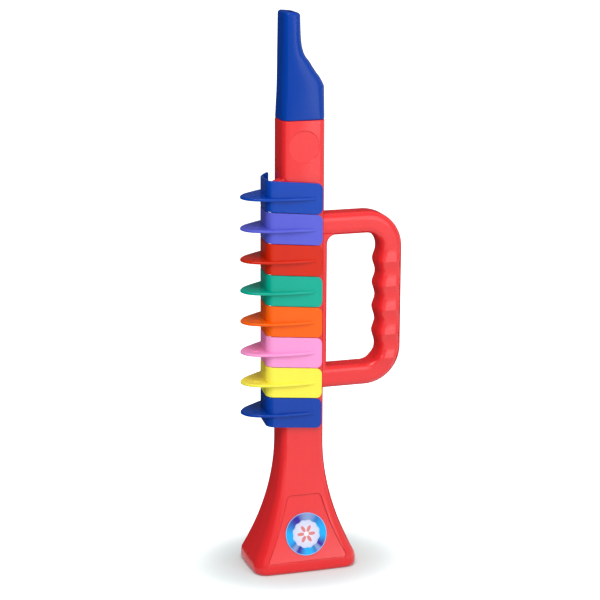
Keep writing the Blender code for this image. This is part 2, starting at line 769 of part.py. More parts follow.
def spring_mesh(points):
    curve = bpy.data.curves.new("Spring", "CURVE")
    curve.dimensions = "3D"
    curve.bevel_depth = SPRING_WIRE
    curve.bevel_resolution = SPRING_WIRE_ROUNDING
    curve.use_fill_caps = True
    spline = curve.splines.new("POLY")
    spline.points.add(len(points) - 1)
    for slot, point in zip(spline.points, points):
        slot.co = (*point, 1)
    holder = bpy.data.objects.new("Spring", curve)
    cutters.objects.link(holder)
    bpy.context.view_layer.update()
    graph = bpy.context.evaluated_depsgraph_get()
    mesh = bpy.data.meshes.new_from_object(holder.evaluated_get(graph))
    bpy.data.objects.remove(holder, do_unlink=True)
    bpy.data.curves.remove(curve)
    bm = bmesh.new()
    bm.from_mesh(mesh)
    bmesh.ops.remove_doubles(bm, verts=bm.verts[:], dist=SPRING_WIRE / ROUND_SIDES)
    bmesh.ops.recalc_face_normals(bm, faces=bm.faces[:])
    bpy.data.meshes.remove(mesh)
    return to_mesh(bm, "Spring")


def make_springs(material):
    for i in range(KEY_COUNT):
        z = key_height(i)
        start = -KEY_FRONT + KEY_WALL + SEAT_GAP + SPRING_WIRE
        end = -tube_half_x(z) - SEAT_GAP - SPRING_WIRE
        points = spring_points(end - start)
        if i == 0:
            apart = min((a - b).length for n, a in enumerate(points)
                        for b in points[n + SPRING_POINTS_PER_TURN - 1:])
            print(f"Least gap between spring turns: {apart - 2 * SPRING_WIRE:.5f} m")
        add_part(f"key_spring_{i + 1}", spring_mesh(points), (TUBE_X + start, SPRING_Y, z), material)


def plate_front():
    # The reed plate's face towards the near wall
    return -(TUBE_HALF_Y - WALL) + SEAT_GAP + GASKET_THICKNESS + SEAT_GAP


def plate_back():
    return plate_front() + PLATE_THICKNESS


def screw_tip():
    return plate_back() + SEAT_GAP - SCREW_LENGTH


def plate_span():
    holes = tone_hole_places()
    return holes[-1] - PLATE_END_MARGIN, holes[0] + PLATE_END_MARGIN


def make_sheet(name, front, thickness, openings, material):
    # A flat strip inside the chamber, cut by its openings and by a hole for each post
    low, high = plate_span()
    strip = box_mesh(name, (-PLATE_HALF_X, front, low), (PLATE_HALF_X, front + thickness, high))
    sheet = add_part(name, strip, (TUBE_X, 0, 0), material)
    holes = [cylinder_mesh("Post hole", POST_RADIUS + SEAT_GAP, (0, front - OVERRUN, z),
                           (0, front + thickness + OVERRUN, z)) for z in post_places()]
    tools = joined_mesh(f"{name} openings", openings + holes)
    combine(sheet, add_tool(f"{name} openings", tools, sheet.location), "DIFFERENCE")


def make_gasket(material):
    front = plate_front() - SEAT_GAP - GASKET_THICKNESS
    windows = [box_mesh("Window", (-WINDOW_HALF_X, front - OVERRUN, z - WINDOW_HALF_Z),
                        (WINDOW_HALF_X, front + GASKET_THICKNESS + OVERRUN, z + WINDOW_HALF_Z))
               for z in tone_hole_places()]
    make_sheet("reed_gasket", front, GASKET_THICKNESS, windows, material)


def make_reed_plate(material):
    # One slot and one rivet hole for each reed
    front = plate_front() - OVERRUN
    back = plate_back() + OVERRUN
    openings = []
    for i, z in enumerate(tone_hole_places()):
        openings.append(box_mesh("Slot", (slot_start(), front, z - REED_SLOT_HALF_Z),
                                 (slot_end(i), back, z + REED_SLOT_HALF_Z)))
        openings.append(cylinder_mesh("Rivet hole", RIVET_SHANK_RADIUS + SEAT_GAP,
                                      (rivet_x(), front, z), (rivet_x(), back, z), SMALL_SIDES))
    make_sheet("reed_plate", plate_front(), PLATE_THICKNESS, openings, material)


def slot_start():
    return -REED_FOOT_X + REED_FOOT_LENGTH


def slot_end(index):
    return slot_start() + tongue_length(index) + REED_TIP_GAP


def rivet_x():
    return -REED_FOOT_X + REED_FOOT_LENGTH / 2


def tongue_length(index):
    # The highest note has the shortest tongue, at the mouthpiece end
    return REED_TONGUE_LONGEST - REED_TONGUE_STEP * (KEY_COUNT - 1 - index)


def make_reeds(material):
    for i, z in enumerate(tone_hole_places()):
        foot = REED_FOOT_LENGTH
        length = foot + tongue_length(i)
        outline = [
            (0, -REED_FOOT_HALF_Z), (foot, -REED_FOOT_HALF_Z), (foot, -REED_TONGUE_HALF_Z),
            (length, -REED_TONGUE_HALF_Z), (length, REED_TONGUE_HALF_Z),
            (foot, REED_TONGUE_HALF_Z), (foot, REED_FOOT_HALF_Z), (0, REED_FOOT_HALF_Z)]
        mesh = outline_mesh("Reed", outline, REED_THICKNESS / 2)
        mesh.transform(Matrix.Rotation(math.radians(90), 4, "X"))
        seat = plate_back() + SEAT_GAP + REED_THICKNESS / 2
        reed = add_part(f"reed_{i + 1}", mesh, (TUBE_X - REED_FOOT_X, seat, z), material)
        hole = add_tool(f"Reed hole {i + 1}", cylinder_mesh(
            "Reed hole", RIVET_SHANK_RADIUS + SEAT_GAP, (0, -OVERRUN, 0), (0, OVERRUN, 0),
            SMALL_SIDES), (TUBE_X + rivet_x(), seat, z))
        combine(reed, hole, "DIFFERENCE")


def fastener_mesh(name, tip, seat, end, radii, x, z, sides):
    # A shank with a flat round head, along Y
    shank_radius, head_radius = radii
    shank = add_tool(name, cylinder_mesh(
        name, shank_radius, (x, tip, z), (x, (seat + end) / 2, z), SMALL_SIDES))
    head = add_tool(f"{name} head", cylinder_mesh(
        f"{name} head", head_radius, (x, seat, z), (x, end, z), sides))
    combine(shank, head, "UNION")
    return settle(shank)


def make_rivets(material):
    seat = plate_back() + SEAT_GAP + REED_THICKNESS + SEAT_GAP
    for i, z in enumerate(tone_hole_places()):
        mesh = fastener_mesh("Rivet", plate_front() + SEAT_GAP, seat, seat + RIVET_HEAD_HEIGHT,
                             (RIVET_SHANK_RADIUS, RIVET_HEAD_RADIUS), rivet_x(), z, SMALL_SIDES)
        add_part(f"reed_rivet_{i + 1}", mesh, (TUBE_X, 0, 0), material)


def make_plate_screws(material):
    seat = plate_back() + SEAT_GAP
    for i, z in enumerate(post_places()):
        mesh = fastener_mesh("Screw", screw_tip(), seat, seat + SCREW_HEAD_HEIGHT,
                             (SCREW_SHANK_RADIUS, SCREW_HEAD_RADIUS), 0, z, ROUND_SIDES)
        add_part(f"reed_plate_screw_{i + 1}", mesh, (TUBE_X, 0, 0), material)


def make_plug(material):
    base = plug_base()
    top = base + PLUG_THICKNESS
    fit = WALL + SEAT_GAP
    plug = add_part("chamber_plug", loft_mesh("Chamber plug", [
        body_ring(z, fit) for z in (base, top + PLUG_RIM_HEIGHT)]), (TUBE_X, 0, 0), material)
    dish = add_tool("Plug dish", loft_mesh("Plug dish", [
        body_ring(z, fit + PLUG_RIM_WALL) for z in (top, top + PLUG_RIM_HEIGHT + OVERRUN)]),
        plug.location)
    combine(plug, dish, "DIFFERENCE")


def mouth_ring(share, inset=0.0, lift=0.0):
    # One section of the mouthpiece, at a share of its height
    table = MOUTH_PROFILE_SHARES
    swell = table[-1][1]
    for (low, a), (high, b) in zip(table, table[1:]):
        if low <= share <= high:
            swell = a + (b - a) * (share - low) / (high - low)
    depth = MOUTH_TIP_DEPTH + (MOUTH_BASE_DEPTH - MOUTH_TIP_DEPTH) * swell
    front = -TUBE_TOP_HALF_X + (TUBE_TOP_HALF_X - MOUTH_TIP_FRONT) * share
    half_y = TUBE_HALF_Y + (MOUTH_TIP_HALF_Y - TUBE_HALF_Y) * share
    corner = MOUTH_TIP_CORNER + (TUBE_CORNER - MOUTH_TIP_CORNER) * swell
    slope = MOUTH_TIP_DROP / MOUTH_TIP_DEPTH * max(share - SLOT_START_SHARE, 0) / (1 - SLOT_START_SHARE)
    z = TUBE_TOP + SEAT_GAP / 2 + (MOUTHPIECE_HEIGHT - SEAT_GAP / 2) * share + lift
    z -= slope * (depth / 2 - inset)
    return rounded_ring(front + depth / 2, depth / 2 - inset, half_y - inset, corner - inset, z,
                        tilt=slope)


def make_mouthpiece(material):
    rings = [mouth_ring(share) for share, _ in MOUTH_PROFILE_SHARES]
    for i in range(TIP_STEPS + 1):
        angle = math.radians(90) * i / TIP_STEPS
        rings.append(mouth_ring(1, inset=MOUTH_TIP_ROUND * (1 - math.cos(angle)),
                                lift=MOUTH_TIP_ROUND * (math.sin(angle) - 1)))
    part = add_part("mouthpiece", loft_mesh("Mouthpiece", rings), (TUBE_X, 0, 0), material)
    fit = WALL + SEAT_GAP
    spigot_base = TUBE_TOP - SPIGOT_LENGTH
    spigot = add_tool("Mouth spigot", loft_mesh("Mouth spigot", [
        body_ring(z, fit) for z in (spigot_base, TUBE_TOP + WALL)]), part.location)
    combine(part, spigot, "UNION")
    tip_x = -MOUTH_TIP_FRONT + MOUTH_TIP_DEPTH / 2
    wide = fit + SPIGOT_WALL
    low = rounded_ring(0, tube_half_x(TUBE_TOP) - wide, TUBE_HALF_Y - wide, WALL,
                       spigot_base - OVERRUN)
    middle = rounded_ring(0, tube_half_x(TUBE_TOP) - wide, TUBE_HALF_Y - wide, WALL,
                          TUBE_TOP + MOUTHPIECE_HEIGHT * SWELL_START_SHARE)
    neck = rounded_ring(tip_x, SLOT_DEPTH / 2, SLOT_WIDTH / 2, SLOT_CORNER,
                        TUBE_TOP + MOUTHPIECE_HEIGHT * SLOT_START_SHARE)
    tip = rounded_ring(tip_x, SLOT_DEPTH / 2, SLOT_WIDTH / 2, SLOT_CORNER, TOTAL_HEIGHT + OVERRUN)
    air = add_tool("Mouth airway", loft_mesh("Mouth airway", [low, middle, neck, tip]), part.location)
    combine(part, air, "DIFFERENCE")


def make_sticker(material):
    # A thin disc laid on the flared panel
    lean = math.atan2(body_half_y(STICKER_Z - STICKER_RADIUS) - body_half_y(STICKER_Z + STICKER_RADIUS),
                      2 * STICKER_RADIUS)
    bm = bmesh.new()

    def spot(radius, angle):
        x = radius * math.cos(angle)
        z = STICKER_Z + radius * math.sin(angle) * math.cos(lean)
        return bm.verts.new((x, -(body_half_y(z) - PANEL_DEPTH) - SEAT_GAP, z))

    centre = spot(0, 0)
    rings = [[spot(STICKER_RADIUS * (n + 1) / STICKER_RINGS, math.radians(360) * i / STICKER_SIDES)
              for i in range(STICKER_SIDES)] for n in range(STICKER_RINGS)]
    for i in range(STICKER_SIDES):
        j = (i + 1) % STICKER_SIDES
        bm.faces.new((centre, rings[0][i], rings[0][j]))
        for inner, outer in zip(rings, rings[1:]):
            bm.faces.new((inner[i], outer[i], outer[j], inner[j]))
    disc = add_part("bell_sticker", to_mesh(bm, "Bell sticker"), (TUBE_X, 0, 0), material)
    film = disc.modifiers.new("Film", "SOLIDIFY")
    film.thickness = STICKER_THICKNESS
    film.offset = 1


def make_rod(material):
    low, high = rod_ends()
    mesh = cylinder_mesh("Hinge rod", ROD_RADIUS, (0, 0, low), (0, 0, high))
    add_part("hinge_rod", mesh, (TUBE_X - HINGE_X, -HINGE_Y, 0), material)


def build():
    red = make_material("Red plastic", (0.870, 0.048, 0.058), 0.28)
    far_red = make_material("Red plastic, far half", (0.870, 0.048, 0.058), 0.28)
    blue = make_material("Blue plastic", (0.006, 0.045, 0.376), 0.25)
    grey = make_material("Grey plastic", (0.300, 0.300, 0.300), 0.50)
    white = make_material("White plastic", (0.700, 0.700, 0.680), 0.40)
    gasket = make_material("Gasket rubber", (0.030, 0.030, 0.030), 0.80)
    rubber = make_material("Pad rubber", (0.050, 0.050, 0.050), 0.70)
    steel = make_material("Steel wire", (0.560, 0.570, 0.580), 0.30, 1.0)
    rod = make_material("Steel rod", (0.560, 0.570, 0.580), 0.25, 1.0)
    screw = make_material("Steel screws", (0.500, 0.500, 0.500), 0.35, 1.0)
    brass = make_material("Reed brass", (0.720, 0.480, 0.150), 0.30, 1.0)
    rivet = make_material("Rivet brass", (0.680, 0.450, 0.140), 0.35, 1.0)
    film = make_material("Sticker film", (0.150, 0.480, 0.900), 0.30)
    colours = [make_material(f"Key plastic {i + 1}", colour, 0.28)
               for i, colour in enumerate(KEY_COLOURS)]

    outside = body_outside()
    hollows = cavities()
    place = Vector((TUBE_X, 0, 0))
    for tool in hollows:
        tool.location = place
    near = make_shell("near_body_shell", -1, outside, hollows, red)
    add_near_details(near, place)
    far = make_shell("far_body_shell", 1, outside, hollows, far_red)
    add_far_details(far, place)
    make_mouthpiece(blue)
    make_plug(grey)
    make_gasket(gasket)
    make_reed_plate(white)
    make_reeds(brass)
    make_rivets(rivet)
    make_plate_screws(screw)
    make_rod(rod)
    make_keys(colours)
    make_pads(rubber)
    make_springs(steel)
    make_sticker(film)
    for thing in parts.objects:
        thing.data.set_sharp_from_angle(angle=math.radians(35))


build()
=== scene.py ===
# Toy trumpet with eight lever keys, a flared bell and a hand grip.
# Pieces are drawn in millimetres about the tube's axis, keys towards -X and grip towards +X,
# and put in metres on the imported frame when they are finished.
import math

import bmesh
import bpy
from mathutils import Matrix, Vector


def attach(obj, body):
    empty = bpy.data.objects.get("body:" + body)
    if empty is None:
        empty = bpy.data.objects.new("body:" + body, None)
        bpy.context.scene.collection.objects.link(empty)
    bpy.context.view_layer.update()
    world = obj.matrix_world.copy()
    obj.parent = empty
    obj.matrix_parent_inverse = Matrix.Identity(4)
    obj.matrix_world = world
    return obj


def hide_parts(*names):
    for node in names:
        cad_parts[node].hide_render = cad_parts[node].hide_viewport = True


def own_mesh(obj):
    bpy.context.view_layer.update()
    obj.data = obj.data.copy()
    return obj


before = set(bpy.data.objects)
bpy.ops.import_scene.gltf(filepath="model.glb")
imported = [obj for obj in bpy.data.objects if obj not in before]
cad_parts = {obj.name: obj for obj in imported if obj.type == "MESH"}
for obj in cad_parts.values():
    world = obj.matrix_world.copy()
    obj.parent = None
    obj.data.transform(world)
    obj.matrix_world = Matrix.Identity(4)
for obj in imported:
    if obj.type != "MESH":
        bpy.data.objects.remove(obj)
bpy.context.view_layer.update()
scene = bpy.context.scene
toFrame = Matrix.Translation((-0.0147, 0, 0)) @ Matrix.Scale(0.001, 4)
quarterTurn, fullTurn = math.radians(90), math.radians(360)
quarters = ((1, 1), (-1, 1), (-1, -1), (1, -1))
overrun = 4.0
print("frame loaded:", len(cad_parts), "nodes")


def addPiece(name, data):
    piece = bpy.data.objects.new(name, data)
    scene.collection.objects.link(piece)
    return piece


def settle(piece):
    # Turns an object with modifiers, a curve or a text into its evaluated mesh
    bpy.context.view_layer.update()
    graph = bpy.context.evaluated_depsgraph_get()
    mesh = bpy.data.meshes.new_from_object(piece.evaluated_get(graph))
    if piece.type == "MESH":
        piece.modifiers.clear()
        piece.data = mesh
    return mesh


def takeMesh(piece):
    # Keeps the mesh and lets its object go
    mesh = piece.data
    bpy.data.objects.remove(piece, do_unlink=True)
    return mesh


def meshOf(bm, name, outward=True):
    if outward:
        bmesh.ops.recalc_face_normals(bm, faces=bm.faces[:])
    else:
        bm.normal_update()
    mesh = bpy.data.meshes.new(name)
    bm.to_mesh(mesh)
    bm.free()
    return mesh


def loft(name, rings):
    # Rings of equal point counts joined with quads and closed at both ends
    bm = bmesh.new()
    rows = [[bm.verts.new(point) for point in ring] for ring in rings]
    for low, high in zip(rows, rows[1:]):
        for corners in zip(low, low[1:] + low[:1], high[1:] + high[:1], high):
            bm.faces.new(corners)
    bm.faces.new(rows[0][::-1])
    bm.faces.new(rows[-1])
    return meshOf(bm, name)


def turned(name, start, end, profile, sides=32):
    # A round piece along the line from start to end: (distance along, radius) pairs
    start, end = Vector(start), Vector(end)
    turns = [fullTurn * i / sides for i in range(sides)]
    mesh = loft(name, [[(radius * math.cos(turn), radius * math.sin(turn), along) for turn in turns]
                       for along, radius in profile])
    mesh.transform(Matrix.Translation(start) @ (end - start).to_track_quat("Z", "Y").to_matrix().to_4x4())
    return mesh


def arc(steps):
    return [quarterTurn * i / steps for i in range(steps + 1)]


def softEdge(radius, angles=(0, 30, 60, 90)):
    # How far an eased edge draws in, and what is left of its height, at each angle
    return [(radius * (1 - math.cos(math.radians(a))), radius * (1 - math.sin(math.radians(a))))
            for a in angles]


def pin(name, start, end, radius, edge=0.0, sides=32):
    # A round bar, with its end edges eased if edge is given
    length = (Vector(end) - Vector(start)).length
    ease = [(along, radius - left) for along, left in softEdge(edge)] if edge else [(0, radius)]
    return turned(name, start, end, ease + [(length - a, r) for a, r in reversed(ease)], sides)


def block(name, low, high):
    bm = bmesh.new()
    low, high = Vector(low), Vector(high)
    bmesh.ops.create_cube(bm, size=1, matrix=Matrix.Translation((low + high) / 2)
                          @ Matrix.Diagonal((*(high - low), 1)))
    return meshOf(bm, name)


def slab(name, points, low, high):
    # A flat outline in XY given a thickness
    bm = bmesh.new()
    face = bm.faces.new([bm.verts.new((x, y, low)) for x, y in points])
    raised = bmesh.ops.extrude_face_region(bm, geom=[face])["geom"]
    bmesh.ops.translate(bm, vec=(0, 0, high - low),
                        verts=[item for item in raised if isinstance(item, bmesh.types.BMVert)])
    return meshOf(bm, name)


def dropCrumbs(piece, fewest=24):
    # A cut can leave slivers: shells with fewer corners than this go
    bm = bmesh.new()
    bm.from_mesh(piece.data)
    unseen = set(bm.verts)
    while unseen:
        shell, front = [], [unseen.pop()]
        while front:
            vertex = front.pop()
            shell.append(vertex)
            near = {edge.other_vert(vertex) for edge in vertex.link_edges} & unseen
            unseen -= near
            front += near
        if len(shell) < fewest:
            bmesh.ops.delete(bm, geom=shell, context="VERTS")
    bm.to_mesh(piece.data)
    bm.free()


def carve(piece, mesh, operation="DIFFERENCE"):
    tool = addPiece("tool", mesh)
    step = piece.modifiers.new("Carve", "BOOLEAN")
    step.operation = operation
    step.solver = "EXACT"
    step.object = tool
    settle(piece)
    bpy.data.objects.remove(tool, do_unlink=True)


def easeEdges(piece, width, segments, angle=50):
    step = piece.modifiers.new("Eased edges", "BEVEL")
    step.width = width
    step.segments = segments
    step.limit_method = "ANGLE"
    step.angle_limit = math.radians(angle)
    settle(piece)


def finishPiece(piece, body, material, nodes, angle=32):
    # Shading, place in metres on the frame, material, and what it rides on and stands for
    mesh = settle(piece)
    mesh.transform(toFrame)
    mesh.materials.clear()
    mesh.materials.append(material)
    for face in mesh.polygons:
        face.material_index = 0
    mesh.shade_smooth()
    mesh.set_sharp_from_angle(angle=math.radians(angle))
    even = piece.modifiers.new("Even shading", "WEIGHTED_NORMAL")
    even.keep_sharp = True
    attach(piece, body)
    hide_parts(*nodes)


def unit(value):
    return min(max(value, 0.0), 1.0)


def between(low, high, share):
    return low + (high - low) * share


def spread(low, high, steps):
    return [low + (high - low) * i / steps for i in range(steps + 1)]


def smoothStep(low, high, value):
    t = unit((value - low) / (high - low))
    return t * t * (3 - 2 * t)


def smoothLine(points, steps):
    # A soft curve through the given points
    last = len(points) - 1
    line = []
    for i in range(last):
        near = [points[min(max(i + k, 0), last)] for k in (-1, 0, 1, 2)]
        for n in range(steps):
            t = n / steps
            line.append(tuple(
                0.5 * (2 * b + (c - a) * t + (2 * a - 5 * b + 4 * c - d) * t * t
                       + (3 * b - a - 3 * c + d) * t ** 3)
                for a, b, c, d in zip(*near)))
    return line + [tuple(points[-1])]


class Sums:
    # Writes arithmetic and the usual textures as nodes, in a shader or a geometry tree
    def __init__(self, tree):
        self.tree = tree

    def feed(self, socket, value):
        if isinstance(value, bpy.types.NodeSocket):
            self.tree.links.new(value, socket)
        else:
            socket.default_value = value

    def node(self, kind, **inputs):
        made = self.tree.nodes.new(kind)
        for name, value in inputs.items():
            self.feed(made.inputs[name.replace("_", " ")], value)
        return made

    def do(self, operation, *values):
        made = self.tree.nodes.new("ShaderNodeMath")
        made.operation = operation
        for socket, value in zip(made.inputs, values):
            self.feed(socket, value)
        return made.outputs[0]

    def add(self, a, b):
        return self.do("ADD", a, b)

    def less(self, a, b):
        return self.do("SUBTRACT", a, b)

    def times(self, a, b):
        return self.do("MULTIPLY", a, b)

    def over(self, a, b):
        return self.do("DIVIDE", a, b)

    def floor(self, value):
        return self.do("MAXIMUM", value, 0.0)

    def between(self, low, high, share):
        return self.add(low, self.times(self.less(high, low), share))

    def place(self):
        return self.tree.nodes.new("ShaderNodeTexCoord").outputs["Object"]

    def noise(self, where, scale, detail, roughness=0.5):
        return self.node("ShaderNodeTexNoise", Vector=where, Scale=scale, Detail=detail,
                         Roughness=roughness).outputs[0]

    def ramp(self, value, low, high):
        return self.node("ShaderNodeMapRange", Value=value, From_Min=low, From_Max=high).outputs[0]

    def mix(self, mask, under, over):
        made = self.tree.nodes.new("ShaderNodeMix")
        made.data_type = "RGBA"
        self.feed(made.inputs[0], mask)
        for socket, colour in ((made.inputs[6], under), (made.inputs[7], over)):
            self.feed(socket, (*colour, 1) if isinstance(colour, tuple) else colour)
        return made.outputs[2]


def newTree(name, kind, inputs, outputs):
    tree = bpy.data.node_groups.new(name, kind)
    for label, socket, value in inputs:
        made = tree.interface.new_socket(label, in_out="INPUT", socket_type=socket)
        if value is not None:
            made.default_value = value
    for label, socket in outputs:
        tree.interface.new_socket(label, in_out="OUTPUT", socket_type=socket)
    return Sums(tree), tree.nodes.new("NodeGroupInput").outputs, tree.nodes.new("NodeGroupOutput").inputs


def shapeTree(name, sizes, shape):
    # A geometry tree with named sizes: shape writes its nodes, and the result is real and has its material
    inputs = [("Geometry", "NodeSocketGeometry", None), ("Material", "NodeSocketMaterial", None)]
    inputs += [(label, "NodeSocketFloat", value) for label, value in sizes.items()]
    s, size, end = newTree(name, "GeometryNodeTree", inputs, [("Geometry", "NodeSocketGeometry")])
    real = s.node("GeometryNodeRealizeInstances", Geometry=shape(s, size))
    paint = s.node("GeometryNodeSetMaterial", Geometry=real.outputs[0], Material=size["Material"])
    s.feed(end["Geometry"], paint.outputs[0])
    return s.tree


def runTree(piece, tree, values):
    # Gives a geometry tree its sizes and turns the result into a plain mesh
    step = piece.modifiers.new("Rule", "NODES")
    step.node_group = tree
    for item in tree.interface.items_tree:
        if item.item_type == "SOCKET" and item.in_out == "INPUT" and item.name in values:
            step[item.identifier] = values[item.name]
    settle(piece)


def plasticSkinGroup():
    # Moulded plastic: slow colour drift, flow lines along the moulding, fine grain and rare scuffs
    s, given, end = newTree("Plastic skin", "ShaderNodeTree", [
        ("Main", "NodeSocketColor", None), ("Deep", "NodeSocketColor", None),
        ("Gloss", "NodeSocketFloat", 0.3), ("Gloss Spread", "NodeSocketFloat", 0.03),
        ("Drift Scale", "NodeSocketFloat", 22.0), ("Grain Scale", "NodeSocketFloat", 2600.0)],
        [("Colour", "NodeSocketColor"), ("Roughness", "NodeSocketFloat"), ("Height", "NodeSocketFloat")])
    where = s.place()
    along = s.node("ShaderNodeMapping", Vector=where, Scale=(1.0, 1.0, 0.28)).outputs[0]
    drift = s.noise(along, given["Drift Scale"], detail=3.0, roughness=0.55)
    flow = s.noise(along, scale=190.0, detail=2.0)
    grain = s.noise(where, given["Grain Scale"], detail=2.0)
    across = s.node("ShaderNodeMapping", Vector=where, Rotation=(0.5, 0.9, 0.2), Scale=(0.25, 1.0, 1.0))
    scuffs = s.ramp(s.noise(across.outputs[0], scale=420.0, detail=4.0, roughness=0.7), 0.68, 0.78)
    shade = s.add(s.times(drift, 0.75), s.times(flow, 0.25))
    s.feed(end["Colour"], s.mix(s.ramp(shade, 0.3, 0.7), given["Main"], given["Deep"]))
    gloss = s.add(given["Gloss"], s.times(s.less(flow, 0.5), given["Gloss Spread"]))
    s.feed(end["Roughness"], s.add(gloss, s.times(scuffs, 0.06)))
    height = s.add(s.times(drift, 0.55), s.times(grain, 0.05))
    s.feed(end["Height"], s.less(height, s.times(scuffs, 0.03)))
    return s.tree


plasticSkin = plasticSkinGroup()


def newMaterial(name):
    material = bpy.data.materials.new(name)
    material.use_nodes = True
    return material, material.node_tree.nodes["Principled BSDF"], Sums(material.node_tree)


def bumpInto(s, shader, height, strength, distance):
    bump = s.node("ShaderNodeBump", Strength=strength, Distance=distance, Height=height)
    s.feed(shader.inputs["Normal"], bump.outputs[0])


def deeper(colour, share):
    return tuple(channel * share for channel in colour)


def plasticMaterial(name, colour, deepShare, gloss, level):
    material, shader, s = newMaterial(name)
    skin = s.tree.nodes.new("ShaderNodeGroup")
    skin.node_tree = plasticSkin
    skin.inputs["Main"].default_value = (*colour, 1)
    skin.inputs["Deep"].default_value = (*deeper(colour, deepShare), 1)
    skin.inputs["Gloss"].default_value = gloss
    s.feed(shader.inputs["Base Color"], skin.outputs["Colour"])
    s.feed(shader.inputs["Roughness"], skin.outputs["Roughness"])
    shader.inputs["Specular IOR Level"].default_value = level
    bumpInto(s, shader, skin.outputs["Height"], 0.12, 0.0004)
    return material


# Name, colour, share of it in the deep colour, gloss and specular level
finishes = {
    "body": ("Red body plastic", (0.810, 0.018, 0.022), 0.93, 0.24, 0.43),
    "mouth": ("Blue mouthpiece plastic", (0.001, 0.046, 0.350), 0.9, 0.20, 0.13),
    "inner": ("Grey inner plastic", (0.300, 0.300, 0.300), 0.8, 0.50, 0.5),
    "plate": ("White plate plastic", (0.700, 0.700, 0.680), 0.88, 0.40, 0.5),
}
plastics = {use: plasticMaterial(*finish) for use, finish in finishes.items()}
keyFinish = (0.92, 0.22, 0.19)
keyColours = {
    "key_1_blue": (0.001, 0.054, 0.410), "key_2_violet": (0.100, 0.110, 0.620),
    "key_3_red": (0.640, 0.018, 0.001), "key_4_teal": (0.000, 0.390, 0.275),
    "key_5_orange": (0.960, 0.124, 0.001), "key_6_pink": (0.960, 0.325, 0.655),
    "key_7_yellow": (0.960, 0.840, 0.076), "key_8_blue": (0.001, 0.047, 0.364),
}


def rubberMaterial(name, colour):
    material, shader, s = newMaterial(name)
    where = s.place()
    bloom = s.noise(where, scale=240.0, detail=4.0)
    s.feed(shader.inputs["Base Color"], s.mix(bloom, deeper(colour, 0.7), deeper(colour, 1.6)))
    s.feed(shader.inputs["Roughness"], s.add(0.62, s.times(bloom, 0.25)))
    bumpInto(s, shader, s.noise(where, scale=3400.0, detail=2.0), 0.3, 0.0001)
    return material


def metalMaterial(name, colour, tarnish, gloss, stretch):
    # Drawn or rolled metal: fine lines one way, with slow tarnish
    material, shader, s = newMaterial(name)
    where = s.place()
    drawn = s.node("ShaderNodeMapping", Vector=where, Scale=stretch).outputs[0]
    lines = s.noise(drawn, scale=5200.0, detail=3.0)
    mask = s.ramp(s.noise(where, scale=310.0, detail=5.0), 0.45, 0.75)
    s.feed(shader.inputs["Base Color"], s.mix(mask, colour, tarnish))
    shader.inputs["Metallic"].default_value = 1.0
    s.feed(shader.inputs["Roughness"], s.add(gloss, s.times(s.add(lines, mask), 0.12)))
    bumpInto(s, shader, lines, 0.12, 0.00005)
    return material


padRubber = rubberMaterial("Pad rubber", (0.050, 0.050, 0.050))
gasketRubber = rubberMaterial("Gasket rubber", (0.030, 0.030, 0.030))
steelTone = (0.560, 0.570, 0.580)
steelWire = metalMaterial("Steel wire", steelTone, (0.420, 0.400, 0.380), 0.18, (1, 1, 1))
steelRod = metalMaterial("Drawn steel rod", steelTone, (0.440, 0.430, 0.420), 0.16, (1, 1, 0.02))
reedBrass = metalMaterial("Reed brass", (0.720, 0.480, 0.150), (0.520, 0.310, 0.090), 0.2, (0.03, 1, 1))
print("materials made")


# Body: tube, flared bell, grip and strip
body = {
    "Tube Top": 309.15, "Tube Top Half Width": 14.9, "Tube Half Width": 15.1, "Tube Half Depth": 11.4,
    "Tube Corner": 4.6, "Flare Top": 90.0, "Widest Height": 8.0, "Bell Half Width": 36.4,
    "Bell Half Depth": 24.0, "Bell Corner": 9.5, "Rim Round": 3.2, "Wall Inset": 0.0, "Crown": 0.36,
}
bodyExtras = {
    "wall": 2.0, "topEdge": 0.5, "cornerSteps": 8, "flatX": 10, "flatY": 6, "flareRings": 30,
    "neckRings": 12, "rimRings": 7, "hollowRings": 17, "seam": 0.11, "halfDepth": 40,
    "halfFrom": (-60, -4), "halfTo": (120, 330),
}
ledge = {"base": 84.5, "height": 3.0, "width": 2.8}
# The bell's mouth, with the height and width of its lip
mouthRim = {"halfX": 28.5, "halfY": 17.0, "corner": 8.0,
            "lips": ((-4, 1.2), (0, 1.2), (0.35, 0.35), (1.2, 0), (4.5, 0))}


